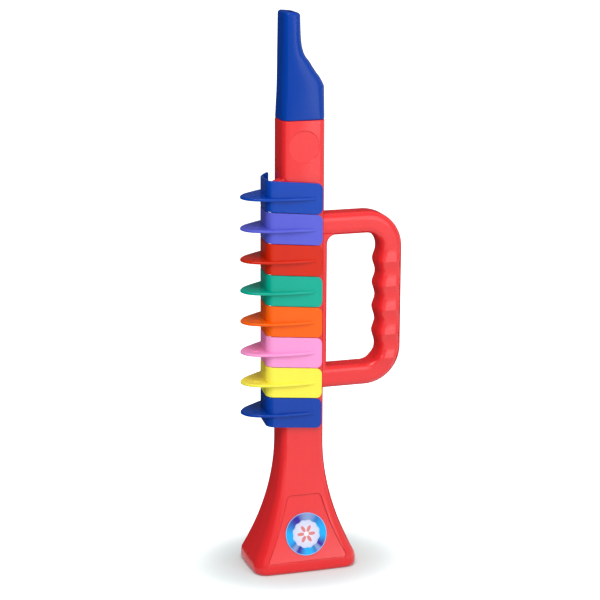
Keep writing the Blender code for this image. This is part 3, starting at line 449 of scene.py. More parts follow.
def bodyRule(s, size):
    # The body's own rule: each ring is a rounded rectangle that widens with the square of the flare
    def stored(name, kind):
        made = s.node("GeometryNodeInputNamedAttribute", Name=name)
        made.data_type = kind
        return made.outputs["Attribute"]

    def parts(vector):
        return s.node("ShaderNodeSeparateXYZ", Vector=vector).outputs

    z = parts(s.node("GeometryNodeInputPosition").outputs[0])[2]
    side, turn = parts(stored("side", "FLOAT_VECTOR")), parts(stored("turn", "FLOAT_VECTOR"))
    flareTop, tubeX, rim, wall = (size[label] for label in (
        "Flare Top", "Tube Half Width", "Rim Round", "Wall Inset"))
    reach = s.over(s.less(flareTop, z), s.less(flareTop, size["Widest Height"]))
    flare = s.do("POWER", s.do("MINIMUM", s.floor(reach), 1.0), 2.0)
    climb = s.floor(s.over(s.less(z, flareTop), s.less(size["Tube Top"], flareTop)))
    halfX = s.add(s.between(tubeX, size["Tube Top Half Width"], climb),
                  s.times(s.less(size["Bell Half Width"], tubeX), flare))
    halfY = s.between(size["Tube Half Depth"], size["Bell Half Depth"], flare)
    radius, drop = s.less(rim, wall), s.floor(s.less(rim, z))
    rise = s.do("SQRT", s.floor(s.less(s.times(radius, radius), s.times(drop, drop))))
    inset = s.add(s.add(wall, s.less(radius, rise)), stored("drawIn", "FLOAT"))
    corner = s.between(size["Tube Corner"], size["Bell Corner"], flare)
    corner = s.do("MAXIMUM", s.less(corner, inset), 1.0)
    outward = s.add(corner, s.times(stored("bulge", "FLOAT"), size["Crown"]))
    coreX = s.less(s.less(halfX, inset), corner)
    coreY = s.less(s.less(s.less(halfY, inset), corner), size["Crown"])
    place = s.node("ShaderNodeCombineXYZ", X=s.add(s.times(side[0], coreX), s.times(turn[0], outward)),
                   Y=s.add(s.times(side[1], coreY), s.times(turn[1], outward)), Z=z)
    return s.node("GeometryNodeSetPosition", Geometry=size["Geometry"],
                  Position=place.outputs[0]).outputs[0]


bodyTree = shapeTree("Body rule", body, bodyRule)


def sectionPoints():
    # Side, turn and bulge of each point round a rounded rectangle
    points = []
    for quarter, (sx, sy) in enumerate(quarters):
        for i in range(bodyExtras["cornerSteps"] + 1):
            turn = quarterTurn * (quarter + i / bodyExtras["cornerSteps"])
            points.append(((sx, sy, 0), (math.cos(turn), math.sin(turn), 0), 0.0))
        nextX, nextY = quarters[(quarter + 1) % 4]
        steps = bodyExtras["flatX"] if sy == nextY else bodyExtras["flatY"]
        facing = quarterTurn * (quarter + 1)
        for i in range(1, steps):
            t = i / steps
            points.append(((between(sx, nextX, t), between(sy, nextY, t), 0),
                           (math.cos(facing), math.sin(facing), 0), (1 - (2 * t - 1) ** 2) ** 1.5))
    return points


def ruledBody(name, heights, wall=0.0, drawIns=None):
    # A straight stack of section rings, which the body's rule then shapes
    section = sectionPoints()
    mesh = loft(name, [[(10 * side[0] + turn[0], 10 * side[1] + turn[1], z) for side, turn, _ in section]
                       for z in heights])
    points = [(*point, (drawIns or {}).get(z, 0.0)) for z in heights for point in section]
    labels = {"side": "vector", "turn": "vector", "bulge": "value", "drawIn": "value"}
    for pick, (label, part) in enumerate(labels.items()):
        kind = "FLOAT_VECTOR" if part == "vector" else "FLOAT"
        stored = mesh.attributes.new(label, kind, "POINT")
        for item, point in zip(stored.data, points):
            setattr(item, part, point[pick])
    piece = addPiece(name, mesh)
    runTree(piece, bodyTree, {**body, "Wall Inset": wall})
    for label in labels:
        piece.data.attributes.remove(piece.data.attributes[label])
    return piece


def flareShare(z):
    return unit((body["Flare Top"] - z) / (body["Flare Top"] - body["Widest Height"])) ** 2


def bodyHalfX(z):
    climb = max((z - body["Flare Top"]) / (body["Tube Top"] - body["Flare Top"]), 0.0)
    tube = between(body["Tube Half Width"], body["Tube Top Half Width"], climb)
    return tube + (body["Bell Half Width"] - body["Tube Half Width"]) * flareShare(z)


def bodyHalfY(z):
    return between(body["Tube Half Depth"], body["Bell Half Depth"], flareShare(z))


def rimHeights(wall):
    radius = body["Rim Round"] - wall
    return [body["Rim Round"] - radius * math.cos(turn) for turn in arc(bodyExtras["rimRings"])[:-1]]


def roundedRing(centreX, halfX, halfY, corner, z, steps=8, flat=1, tilt=0.0, inner=None, roundest=0.98):
    # A rounded rectangle at one height; tilt lowers it towards +X, inner is the corner at -X
    radii = {1: min(corner, halfX * roundest, halfY * roundest)}
    radii[-1] = radii[1] if inner is None else inner

    def onArc(side, turn):
        radius = radii[side[0]]
        return (side[0] * (halfX - radius) + radius * math.cos(turn),
                side[1] * (halfY - radius) + radius * math.sin(turn))

    points = []
    for quarter, side in enumerate(quarters):
        points += [onArc(side, quarterTurn * (quarter + i / steps)) for i in range(steps + 1)]
        start, end = points[-1], onArc(quarters[(quarter + 1) % 4], quarterTurn * (quarter + 1))
        points += [tuple(a + (b - a) * i / flat for a, b in zip(start, end)) for i in range(1, flat)]
    return [(centreX + x, y, z - tilt * x) for x, y in points]


grip = {
    "topZ": 245.5, "baseZ": 125.0, "reach": 71.0, "barHalf": 7.5, "postHalf": 7.65, "halfY": 8.9,
    "edge": 4.8, "innerEdge": 4.3, "bend": 18.0, "rootX": 10.0, "ridgeZ": 210.4, "pitch": 16.8, "waves": 4,
    "ridges": 5, "waveDepth": 0.85, "ridgeHeight": 1.5, "barSteps": 10, "bendSteps": 30, "wallSteps": 16,
}


def amongFingers(z, count):
    last = grip["ridgeZ"] - grip["pitch"] * (count - 1)
    return last - grip["pitch"] / 2 < z < grip["ridgeZ"] + grip["pitch"] / 2


def waveDepth(z):
    # Finger waves on the inner side
    if not amongFingers(z, grip["waves"]):
        return 0.0
    return grip["waveDepth"] * (1 + math.cos(fullTurn * (z - grip["ridgeZ"]) / grip["pitch"]))


def ridgeShare(z):
    # Finger scoops on the broad faces: hollow between crisp ridges
    if not amongFingers(z, grip["ridges"]):
        return 0.0
    t = ((grip["ridgeZ"] - z) / grip["pitch"] + 0.5) % 1.0 - 0.5
    return (1 - 2 * abs(t)) ** 2


def gripStations():
    # The grip's middle line, from the top bar round to the base bar: x, z, turn and half thickness
    upper, lower = grip["topZ"] - grip["barHalf"], grip["baseZ"] + grip["barHalf"]
    postX, bend, steps = grip["reach"] - grip["postHalf"], grip["bend"], grip["bendSteps"]
    grow = grip["postHalf"] - grip["barHalf"]
    bar = spread(grip["rootX"], postX - bend, grip["barSteps"])[:-1]
    stations = [(x, upper, 0.0, grip["barHalf"]) for x in bar]
    stations += [(postX - bend + bend * math.sin(turn), upper - bend + bend * math.cos(turn), turn,
                  grip["barHalf"] + grow * i / steps) for i, turn in enumerate(arc(steps))]
    for i in range(grip["wallSteps"] * grip["ridges"] + 1):
        z = grip["ridgeZ"] + grip["pitch"] / 2 - grip["pitch"] * i / grip["wallSteps"]
        if lower + bend < z < upper - bend:
            stations.append((postX, z, quarterTurn, grip["postHalf"]))
    stations += [(postX - bend + bend * math.cos(turn), lower + bend - bend * math.sin(turn),
                  quarterTurn + turn, grip["postHalf"] - grow * i / steps)
                 for i, turn in enumerate(arc(steps))]
    bar = spread(postX - bend, grip["rootX"], grip["barSteps"])[1:]
    return stations + [(x, lower, 2 * quarterTurn, grip["barHalf"]) for x in bar]


def gripMesh(name, inset=0.0, rootShift=0.0):
    rings = []
    for x, z, turn, half in gripStations():
        x = max(x, grip["rootX"] + rootShift)
        wave = waveDepth(z) if math.isclose(turn, quarterTurn) else 0.0
        out = Vector((math.sin(turn), 0, math.cos(turn)))
        ring = []
        for across, y, _ in roundedRing(0, half - inset, grip["halfY"] - inset, grip["edge"] - inset, 0,
                                        6, 6, 0, max(grip["innerEdge"] - inset, 1.0)):
            near = 1 - smoothStep(3.0, half - 0.8, across)
            across -= wave * (1 - smoothStep(-half + 2, half - 1.5, across))
            point = Vector((x, y, z)) + out * across
            if not inset:
                point.y += grip["ridgeHeight"] * ridgeShare(point.z) * y / grip["halfY"] * near
            ring.append(point)
        rings.append(ring)
    return loft(name, rings)


strip = {"reach": 17.7, "halfY": 8.5, "edge": 3.0, "filletDepth": 4.6, "filletHeight": 6.5,
         "lowFillet": 1.5, "lap": 4.0, "topLap": 1.5}


def stripMesh():
    # The flat behind the fingers, with a soft corner at either bar
    top, base = grip["topZ"] - 2 * grip["barHalf"], grip["baseZ"] + 2 * grip["barHalf"]
    tall, low = strip["filletHeight"], strip["lowFillet"]
    heights = (spread(base - strip["lap"], base + low, 6) + spread(base + strip["lap"], top - tall, 4)
               + spread(top - tall, top + strip["topLap"], 14)[1:])
    rings = []
    for z in heights:
        rise, fall = unit((z - top + tall) / tall), unit((base + low - z) / low)
        reach = (strip["reach"] + strip["filletDepth"] * (1 - math.sqrt(1 - rise * rise))
                 + low * (1 - math.sqrt(1 - fall * fall)))
        half = (reach - grip["rootX"]) / 2
        rings.append(roundedRing(grip["rootX"] + half, half, strip["halfY"], strip["edge"], z, 6))
    return loft("strip", rings)


def bodyWhole():
    top, wall = body["Tube Top"], bodyExtras["wall"]
    drawIns = {top - left: draw for draw, left in softEdge(bodyExtras["topEdge"])}
    tops = list(drawIns)
    heights = (rimHeights(0) + spread(body["Rim Round"], body["Flare Top"], bodyExtras["flareRings"])
               + spread(body["Flare Top"], tops[0], bodyExtras["neckRings"])[1:-1] + tops)
    whole = ruledBody("bodyWhole", heights, 0.0, drawIns)
    carve(whole, gripMesh("grip"), "UNION")
    carve(whole, stripMesh(), "UNION")
    base = ledge["base"]
    bell = rimHeights(wall) + spread(body["Rim Round"], base, bodyExtras["hollowRings"])
    for name, heights, inset in (("bellHollow", bell, wall),
                                 ("chamber", [base + ledge["height"], top + overrun], wall),
                                 ("passage", [base - overrun, base + 2 * overrun], wall + ledge["width"])):
        carve(whole, takeMesh(ruledBody(name, heights, inset)))
    carve(whole, loft("mouth", [
        roundedRing(0, mouthRim["halfX"] + lip, mouthRim["halfY"] + lip, mouthRim["corner"] + lip, z)
        for z, lip in mouthRim["lips"]]))
    carve(whole, gripMesh("gripHollow", wall, strip["reach"] - grip["rootX"]))
    return whole


def bodyHalf(whole, name, side):
    # The halves meet at a hairline seam
    half = addPiece(name, whole.data.copy())
    low, high = sorted((side * bodyExtras["seam"], side * bodyExtras["halfDepth"]))
    (lowX, lowZ), (highX, highZ) = bodyExtras["halfFrom"], bodyExtras["halfTo"]
    carve(half, block("half", (lowX, low, lowZ), (highX, high, highZ)), "INTERSECT")
    return half


panel = {"top": 53.0, "base": 8.0, "margin": 7.6, "corner": 3.0, "depth": 0.55, "groove": 0.5,
         "grooveSink": 0.05, "steps": 14, "closest": 0.2}


def panelOutline():
    # Points round the panel on the flared face, with its depth and its rounded corners
    span, corner = panel["top"] - panel["base"], panel["corner"]
    ends = [corner * (1 - math.cos(turn)) for turn in arc(8)]
    rises = ends + spread(corner, span - corner, panel["steps"])[1:-1] + [span - end for end in ends[::-1]]
    points = []
    for rise in rises:
        near = max(corner - min(rise, span - rise), 0.0)
        draw = corner - math.sqrt(max(corner ** 2 - near ** 2, 0.0))
        z = panel["base"] + rise
        points.append((bodyHalfX(z) - panel["margin"] - draw, bodyHalfY(z) - body["Crown"], z))
    return points


def grooveRule(s, size):
    # A round tool run along a closed path
    path = s.node("GeometryNodeMeshToCurve", Mesh=size["Geometry"])
    tool = s.node("GeometryNodeCurvePrimitiveCircle", Resolution=8, Radius=size["Tool Radius"])
    return s.node("GeometryNodeCurveToMesh", Curve=path.outputs[0], Profile_Curve=tool.outputs[0]).outputs[0]


grooveTree = shapeTree("Groove along path", {"Tool Radius": panel["groove"]}, grooveRule)


def grooveAlong(path):
    bm = bmesh.new()
    spots = [bm.verts.new(point) for point in path]
    for a, b in zip(spots, spots[1:] + spots[:1]):
        bm.edges.new((a, b))
    bmesh.ops.remove_doubles(bm, verts=bm.verts[:], dist=panel["closest"])
    piece = addPiece("groove", meshOf(bm, "groove", False))
    runTree(piece, grooveTree, {"Tool Radius": panel["groove"]})
    bm = bmesh.new()
    bm.from_mesh(takeMesh(piece))
    return meshOf(bm, "groove")


def carvePanel(near):
    outline = panelOutline()
    carve(near, loft("panelPocket", [
        [(-half, -y - overrun, z), (half, -y - overrun, z), (half, panel["depth"] - y, z),
         (-half, panel["depth"] - y, z)] for half, y, z in outline]))
    sides = [(half, panel["depth"] - y + panel["grooveSink"], z) for half, y, z in outline]
    carve(near, grooveAlong(sides + [(-x, y, z) for x, y, z in reversed(sides)]))


keys = {
    "count": 8, "firstZ": 259.9, "pitch": 21.05, "gap": 0.34, "wall": 1.6, "front": 24.0, "nearFront": 26.0,
    "side": 13.9, "bend": 5.0, "armEnd": 12.5, "returnEnd": 17.5, "endCorner": 4.3, "returnCorner": 1.2,
    "slant": 0.098, "finReach": 41.6, "finHalfWidth": 20.5, "finThickness": 2.0, "finDrop": 1.6,
    "finSlant": 0.030, "finLap": 0.05, "bandEdge": 0.36, "finEdge": 0.90, "rollStart": 8.6, "roll": 0.75,
}
hinge = {"x": 18.3, "y": 8.3, "rod": 1.1, "play": 0.15, "knuckle": 2.7, "knuckleHeight": 10.0,
         "knuckleEdge": 0.25, "sideGap": 0.4, "web": 3.6, "webHeight": 9.2, "webIn": 1.2, "cap": 1.4,
         "end": 0.3, "bore": 20}
lug = {"reach": 21.0, "farY": 2.6, "rootX": 13.2, "rootBack": 0.8, "nearY": 9.6, "endHeight": 3.4,
       "slope": 0.36, "edge": 0.3}
hole = {"x": 1.5, "radius": 2.8, "seat": 5.0, "seatDepth": 0.9, "lead": 0.25, "leadDepth": 0.3}
emblem = {"z": 291.8, "radius": 10.8, "depth": 0.3, "edge": 0.35, "crownShare": 0.4, "from": 20.0,
          "lap": 0.05, "step": 0.25, "stepIn": 0.9, "sides": 96}
post = {"back": -6.0, "drop": 0.3, "lap": 1.0, "radius": 2.0}
gate = {"at": (-5.0, -15.0, 93.0), "reach": 5, "profile": [(0, 0.9), (3.5, 0.9), (3.9, 0.5)]}
spigot = {"y": 3.6, "radius": 1.6, "edge": 0.35, "bodyReach": 2.4, "bodyLap": 1.0, "keyFrom": 0.8,
          "keyTo": 3.0, "sides": 20}


def keyZ(i):
    return keys["firstZ"] - keys["pitch"] * i


def holeZ(i):
    return keyZ(i) - keys["slant"] * (hinge["x"] + hole["x"])


def lugSpans():
    gap = (keys["pitch"] - hinge["knuckleHeight"]) / 2 - hinge["sideGap"]
    spans = []
    for i in range(keys["count"] + 1):
        middle = keyZ(i) + keys["pitch"] / 2
        low, high = middle - gap, middle + gap
        if i == 0:
            high = low + lug["endHeight"]
        if i == keys["count"]:
            low = high - lug["endHeight"]
        spans.append((low, high))
    return spans


def lugMesh(i, low, high):
    soft, reach, farY = hinge["knuckle"], -lug["reach"], -lug["farY"]
    outline = [(-lug["rootX"], farY), (reach + soft, farY)]
    outline += [(reach + soft * (1 - math.sin(turn)), farY - soft * (1 - math.cos(turn)))
                for turn in arc(8)[1:-1]]
    outline += [(-hinge["x"] + soft * math.cos(2 * quarterTurn + turn),
                 -hinge["y"] + soft * math.sin(2 * quarterTurn + turn)) for turn in arc(8)]
    outline.append((-lug["rootX"] + lug["rootBack"], -lug["nearY"]))
    mesh = slab("lug", outline, low, high)
    if i == 0:
        for vertex in mesh.vertices:
            if vertex.co.z > (low + high) / 2:
                vertex.co.z += lug["slope"] * (vertex.co.x + lug["reach"])
    piece = addPiece("lug", mesh)
    easeEdges(piece, lug["edge"], 2, 60)
    return takeMesh(piece)


def carveEmblem(near):
    disc, edge, z, start = emblem["radius"], emblem["edge"], emblem["z"], -emblem["from"]
    floor = -body["Tube Half Depth"] + emblem["depth"] + body["Crown"] * emblem["crownShare"]
    profile = [(0, disc), (floor - start - edge, disc), (floor - start, disc - edge)]
    carve(near, turned("disc", (0, start, z), (0, floor, z), profile, emblem["sides"]))
    profile = [(0, disc - edge), (emblem["step"], disc - emblem["stepIn"])]
    carve(near, turned("ring", (0, floor - emblem["lap"], z), (0, floor + emblem["step"], z), profile,
                       emblem["sides"]))


def dressNear(near):
    # Panel, neck disc, lugs, rod bore, reed plate's posts, tone holes and the mark of the mould's gate
    carvePanel(near)
    carveEmblem(near)
    spans = lugSpans()
    for i, (low, high) in enumerate(spans):
        carve(near, lugMesh(i, low, high), "UNION")
    carve(near, pin("bore", (-hinge["x"], -hinge["y"], spans[-1][0] - overrun),
                    (-hinge["x"], -hinge["y"], spans[0][1] - hinge["cap"] + hinge["end"]),
                    hinge["rod"] + hinge["play"]))
    inner = -(body["Tube Half Depth"] - bodyExtras["wall"])
    for i in range(0, keys["count"], 2):
        z = (holeZ(i) + holeZ(i + 1)) / 2
        carve(near, pin("post", (0, inner - post["lap"], z), (0, post["back"] - post["drop"], z),
                        post["radius"], 0, 20), "UNION")
    front, radius, deep = -body["Tube Half Depth"], hole["radius"], overrun + hole["seatDepth"]
    profile = [(0, hole["seat"]), (deep, hole["seat"]), (deep, radius + hole["lead"]),
               (deep + hole["leadDepth"], radius), (2 * overrun, radius)]
    for i in range(keys["count"]):
        carve(near, turned("hole", (hole["x"], front - overrun, holeZ(i)), (hole["x"], front, holeZ(i)),
                           profile, 28))
    x, y, z = gate["at"]
    carve(near, turned("gate", (x, y, z), (x, y + gate["reach"], z), gate["profile"], 20))


def spigotPin(start, end, z):
    return pin("spigot", (start, spigot["y"], z), (end, spigot["y"], z), spigot["radius"], spigot["edge"],
               spigot["sides"])


def dressFar(far):
    for i in range(keys["count"]):
        front = -bodyHalfX(keyZ(i))
        carve(far, spigotPin(front - spigot["bodyReach"], front + spigot["bodyLap"], keyZ(i)), "UNION")


whole = bodyWhole()
print("body shaped")
nearBody = bodyHalf(whole, "bodyNearHalf", -1)
farBody = bodyHalf(whole, "bodyFarHalf", 1)
bpy.data.objects.remove(whole, do_unlink=True)
dressNear(nearBody)
dropCrumbs(nearBody)
dressFar(farBody)
finishPiece(nearBody, "trumpet_body", plastics["body"], ["near_body_shell"])
finishPiece(farBody, "trumpet_body", plastics["body"], ["far_body_shell"])
print("body halves finished")


# Mouthpiece: its swell is the share of the step from tip depth to base depth, by share of the height
mouth = {
    "height": 70.7, "baseDepth": 29.7, "tipDepth": 11.6, "baseHalfY": 11.4, "tipHalfY": 10.0,
    "baseFront": 14.8, "tipFront": 13.3, "tipCorner": 3.5, "baseCorner": 5.0, "tipRound": 2.0,
    "tipDrop": 1.2, "footEdge": 0.5, "softer": 1.2, "baseCrown": 0.36, "crown": 0.9, "crownShare": 0.3,
    "footZ": 309.45, "footGap": 0.15, "shareZ": 309.3, "firstShare": 0.0075, "skipShare": 0.004,
    "slotDepth": 5.0, "slotWidth": 14.0, "slotCorner": 1.8, "slotStart": 0.62, "slotHeights": (377.0, 384),
    "airStart": 295, "airShare": 0.27, "airWall": 1.6, "airCorner": 2, "fit": 0.3, "spigotCorner": 2.7,
    "spigot": ((299.8, 0.5), (300.3, 0.12), (300.9, 0.0), (311.3, 0.0)),
    "swell": [(0.00, 1.000), (0.27, 0.990), (0.315, 0.965), (0.352, 0.893), (0.395, 0.790), (0.426, 0.690),
              (0.48, 0.540), (0.533, 0.404), (0.575, 0.270), (0.618, 0.175), (0.70, 0.087), (0.80, 0.040),
              (0.965, 0.000)],
}


def mouthRing(share, swell, inset=0.0, lift=0.0):
    depth = between(mouth["tipDepth"], mouth["baseDepth"], swell)
    front = between(-mouth["baseFront"], -mouth["tipFront"], share)
    halfY = between(mouth["baseHalfY"], mouth["tipHalfY"], share)
    corner = (between(mouth["tipCorner"], mouth["baseCorner"], swell)
              + mouth["softer"] * math.sin(2 * quarterTurn * min(share, 1)))
    slant = max(share - mouth["slotStart"], 0) / (1 - mouth["slotStart"])
    slope = mouth["tipDrop"] / mouth["tipDepth"] * slant
    z = mouth["footZ"] + (mouth["height"] - mouth["footGap"]) * share + lift - slope * (depth / 2 - inset)
    bulge = between(mouth["baseCrown"], mouth["crown"], smoothStep(0, mouth["crownShare"], share))
    centre, half = front + depth / 2, depth / 2 - inset
    ring = roundedRing(centre, half, halfY - inset - bulge, max(corner - inset, 1.2), z, 8, 8, slope)
    return [(x, y * (1 + bulge * (1 - ((x - centre) / half) ** 2) / halfY), height) for x, y, height in ring]


def mouthMesh():
    rings = [mouthRing(0, 1, draw, left) for draw, left in softEdge(mouth["footEdge"], (90, 60, 30))]
    rings += [mouthRing(max(share, mouth["firstShare"]), swell)
              for share, swell in smoothLine(mouth["swell"], 5) if share > mouth["skipShare"] or not share]
    rings += [mouthRing(1, 0, mouth["tipRound"] * (1 - math.cos(turn)),
                        mouth["tipRound"] * (math.sin(turn) - 1)) for turn in arc(5)]
    return loft("mouthpiece", rings)


def makeMouthpiece():
    piece = addPiece("blueMouthpiece", mouthMesh())
    fit = bodyExtras["wall"] + mouth["fit"]
    halfX, halfY = body["Tube Top Half Width"] - fit, body["Tube Half Depth"] - fit
    carve(piece, loft("spigot", [roundedRing(0, halfX - draw, halfY - draw, mouth["spigotCorner"], z, 6)
                                 for z, draw in mouth["spigot"]]), "UNION")
    wide = fit + mouth["airWall"]
    halfX, halfY = body["Tube Top Half Width"] - wide, body["Tube Half Depth"] - wide
    tipX = -mouth["tipFront"] + mouth["tipDepth"] / 2
    base, height = mouth["shareZ"], mouth["height"]
    air = [roundedRing(0, halfX, halfY, mouth["airCorner"], z, 6)
           for z in (mouth["airStart"], base + height * mouth["airShare"])]
    air += [roundedRing(tipX, mouth["slotDepth"] / 2, mouth["slotWidth"] / 2, mouth["slotCorner"], z, 6)
            for z in (base + height * mouth["slotStart"], *mouth["slotHeights"])]
    carve(piece, loft("airway", air))
    finishPiece(piece, "trumpet_body", plastics["mouth"], ["mouthpiece"], 40)


makeMouthpiece()
print("mouthpiece finished")


# Keys: the fin's edge in shares of its reach and half width
finEdge = [(-0.18, -0.690), (-0.05, -0.735), (0.12, -0.765), (0.30, -0.785), (0.50, -0.775), (0.63, -0.745),
           (0.76, -0.690), (0.86, -0.610), (0.935, -0.490), (0.98, -0.340), (1.00, -0.170), (0.99, -0.040),
           (0.955, 0.100), (0.89, 0.300), (0.80, 0.480), (0.68, 0.690), (0.57, 0.880), (0.50, 0.975),
           (0.445, 1.000), (0.415, 0.930), (0.408, 0.800)]


def frontAt(y):
    # The J's front stands a little further out at its near bend than at its far one
    return between(keys["front"], keys["nearFront"], 0.5 - y / (2 * (keys["side"] - keys["bend"])))


def keyPath():
    # Outer face of the J in plan with the band's half height there
    half = (keys["pitch"] - keys["gap"]) / 2
    side, bend, end, corner = keys["side"], keys["bend"], keys["armEnd"], keys["endCorner"]
    path = []
    for i in range(10):
        turn = quarterTurn * math.sqrt(i / 9)
        path.append((end - corner * (1 - math.cos(turn)), -side, half - corner * (1 - math.sin(turn))))
    path += [(x, -side, half) for x in spread(end - corner, -keys["nearFront"] + bend, 12)[1:-1]]
    path += [(-keys["nearFront"] + bend * (1 - math.sin(turn)), -side + bend * (1 - math.cos(turn)), half)
             for turn in arc(12)]
    for i in range(1, 8):
        y = (side - bend) * (i / 4 - 1)
        path.append((-frontAt(y), y, half))
    path += [(-keys["front"] + bend * (1 - math.cos(turn)), side - bend * (1 - math.sin(turn)), half)
             for turn in arc(12)]
    for i in range(1, 4):
        turn, corner = quarterTurn * math.sqrt(1 - i / 3), keys["returnCorner"]
        path.append((-keys["returnEnd"] - corner * (1 - math.cos(turn)), side,
                     half - corner * (1 - math.sin(turn))))
    rolled = []
    for x, y, tall in path:
        share = max(x - keys["rollStart"], 0.0) / (end - keys["rollStart"])
        rolled.append((x, y + keys["roll"] * share * share, tall))
    return rolled


def bandMesh():
    bm = bmesh.new()
    rows = [(bm.verts.new((x, y, -half)), bm.verts.new((x, y, half))) for x, y, half in keyPath()]
    for (a, b), (c, d) in zip(rows, rows[1:]):
        bm.faces.new((a, b, d, c))
    piece = addPiece("band", meshOf(bm, "band", False))
    wall = piece.modifiers.new("Wall", "SOLIDIFY")
    wall.thickness = keys["wall"]
    wall.offset = -1
    wall.use_even_offset = True
    settle(piece)
    easeEdges(piece, keys["bandEdge"], 3, 50)
    return piece


def finMesh():
    edge = [(-keys["finReach"] * x, keys["finHalfWidth"] * y) for x, y in smoothLine(finEdge, 3)]
    middle, bend = keys["wall"] / 2, keys["bend"]
    radius = bend - middle
    closing = [(edge[0][0], -keys["side"] + keys["wall"] - keys["finLap"])]
    for front, side in ((keys["nearFront"], 1), (keys["front"], -1)):
        inBend = [(-front + bend - radius * math.sin(turn),
                   -side * (keys["side"] - bend + radius * math.cos(turn))) for turn in arc(8)]
        closing += inBend[::side]
    closing.append((-keys["returnEnd"] - middle, keys["side"] - middle))
    half = keys["finThickness"] / 2
    piece = addPiece("fin", slab("fin", edge + closing[::-1], -half, half))
    easeEdges(piece, keys["finEdge"], 4, 60)
    return takeMesh(piece)


def lean(mesh, slope, drop=0.0):
    for vertex in mesh.vertices:
        vertex.co.z -= slope * (vertex.co.x + hinge["x"]) + drop


def keyPattern():
    band = bandMesh()
    lean(band.data, keys["slant"])
    fin = finMesh()
    lean(fin, keys["finSlant"], keys["finDrop"])
    carve(band, fin, "UNION")
    knuckleZ, webZ = hinge["knuckleHeight"] / 2, hinge["webHeight"] / 2
    x, y, front = -hinge["x"], -hinge["y"], -keys["front"]
    carve(band, pin("knuckle", (x, y, -knuckleZ), (x, y, knuckleZ), hinge["knuckle"],
                    hinge["knuckleEdge"]), "UNION")
    carve(band, block("web", (-keys["nearFront"] + hinge["webIn"], y - hinge["web"] / 2, -webZ),
                      (x, y + hinge["web"] / 2, webZ)), "UNION")
    carve(band, spigotPin(front + spigot["keyFrom"], front + spigot["keyTo"], 0), "UNION")
    carve(band, pin("bore", (x, y, -hinge["bore"]), (x, y, hinge["bore"]), hinge["rod"] + hinge["play"]))
    return band


topReturn = {"rise": 2.1, "dip": 0.8, "nearY": -4.0, "farY": 7.0, "above": 5.0, "start": 0.5, "past": 1.0}
numeral = {"size": 5.6, "raise": 0.3, "x": -31.5, "y": -6.03, "closest": 0.001}


def raiseReturn(mesh):
    # The top key's band climbs along its far return, where no key is above it
    for vertex in mesh.vertices:
        x, y, z = vertex.co
        if (z > topReturn["above"] and x < -keys["returnEnd"] + topReturn["past"]
                and y > -keys["side"] + keys["bend"]):
            far = smoothStep(topReturn["nearY"], topReturn["farY"], y)
            climb = unit((x + keys["front"] - topReturn["start"])
                         / (keys["front"] - keys["returnEnd"] - topReturn["start"]))
            vertex.co.z += far * ((topReturn["rise"] + topReturn["dip"]) * climb - topReturn["dip"])


def numeralMesh(number):
    # A plain raised number on the fin, read from the mouthpiece end
    words = bpy.data.curves.new("numeral", "FONT")
    words.body = str(number)
    words.size = numeral["size"]
    words.extrude = numeral["raise"]
    words.align_x = "CENTER"
    words.align_y = "CENTER"
    words.resolution_u = 4
    holder = addPiece("numeral", words)
    bm = bmesh.new()
    bm.from_mesh(settle(holder))
    bpy.data.objects.remove(holder, do_unlink=True)
    bmesh.ops.remove_doubles(bm, verts=bm.verts[:], dist=numeral["closest"])
    mesh = meshOf(bm, "numeral")
    top = -keys["finSlant"] * (numeral["x"] + hinge["x"]) - keys["finDrop"] + keys["finThickness"] / 2
    mesh.transform(Matrix.Translation((numeral["x"], numeral["y"], top))
                   @ Matrix.Rotation(quarterTurn, 4, "Z"))
    return mesh


def makeKeys():
    pattern = keyPattern()
    for i, (slot, colour) in enumerate(keyColours.items()):
        key = addPiece(f"leverKey{i + 1}", pattern.data.copy())
        if not i:
            raiseReturn(key.data)
        carve(key, numeralMesh(i + 1), "UNION")
        key.data.transform(Matrix.Translation((0, 0, keyZ(i))))
        material = plasticMaterial(f"Key plastic {i + 1}", colour, *keyFinish)
        finishPiece(key, f"lever_{i + 1}", material, [f"key_{i + 1}"], 36)
    bpy.data.objects.remove(pattern, do_unlink=True)


makeKeys()
print("keys finished")


# Hinge rod, pads and springs
pad = {"radius": 4.2, "thickness": 1.3, "edge": 0.25, "gap": 0.3, "sides": 40}
coil = {"Length": 7.0, "Coil Radius": 2.4, "Turns": 4.0, "Wire Radius": 0.3}
spring = {"clear": 0.3, "keep": 0.77}


def makeRod():
    spans = lugSpans()
    x, y, edge = -hinge["x"], -hinge["y"], hinge["end"]
    rod = addPiece("pivotRod", pin("rod", (x, y, spans[-1][0] + edge), (x, y, spans[0][1] - hinge["cap"]),
                                   hinge["rod"], edge))
    finishPiece(rod, "trumpet_body", steelRod, ["hinge_rod"])


def makePads():
    face = -keys["side"] + keys["wall"] + pad["gap"]
    for i in range(keys["count"]):
        mesh = pin("pad", (hole["x"], face, holeZ(i)), (hole["x"], face + pad["thickness"], holeZ(i)),
                   pad["radius"], pad["edge"], pad["sides"])
        finishPiece(addPiece(f"airPad{i + 1}", mesh), f"lever_{i + 1}", padRubber,
                    [f"key_pad_{i + 1}"])


def springRule(s, size):
    # Round wire wound to a length, along X
    line = s.node("GeometryNodeCurveSpiral", Resolution=40, Rotations=size["Turns"],
                  Start_Radius=size["Coil Radius"], End_Radius=size["Coil Radius"], Height=size["Length"])
    wire = s.node("GeometryNodeCurvePrimitiveCircle", Resolution=10, Radius=size["Wire Radius"])
    run = s.node("GeometryNodeCurveToMesh", Curve=line.outputs[0], Profile_Curve=wire.outputs[0])
    run.inputs["Fill Caps"].default_value = True
    return s.node("GeometryNodeTransform", Geometry=run.outputs[0], Rotation=(0, quarterTurn, 0)).outputs[0]


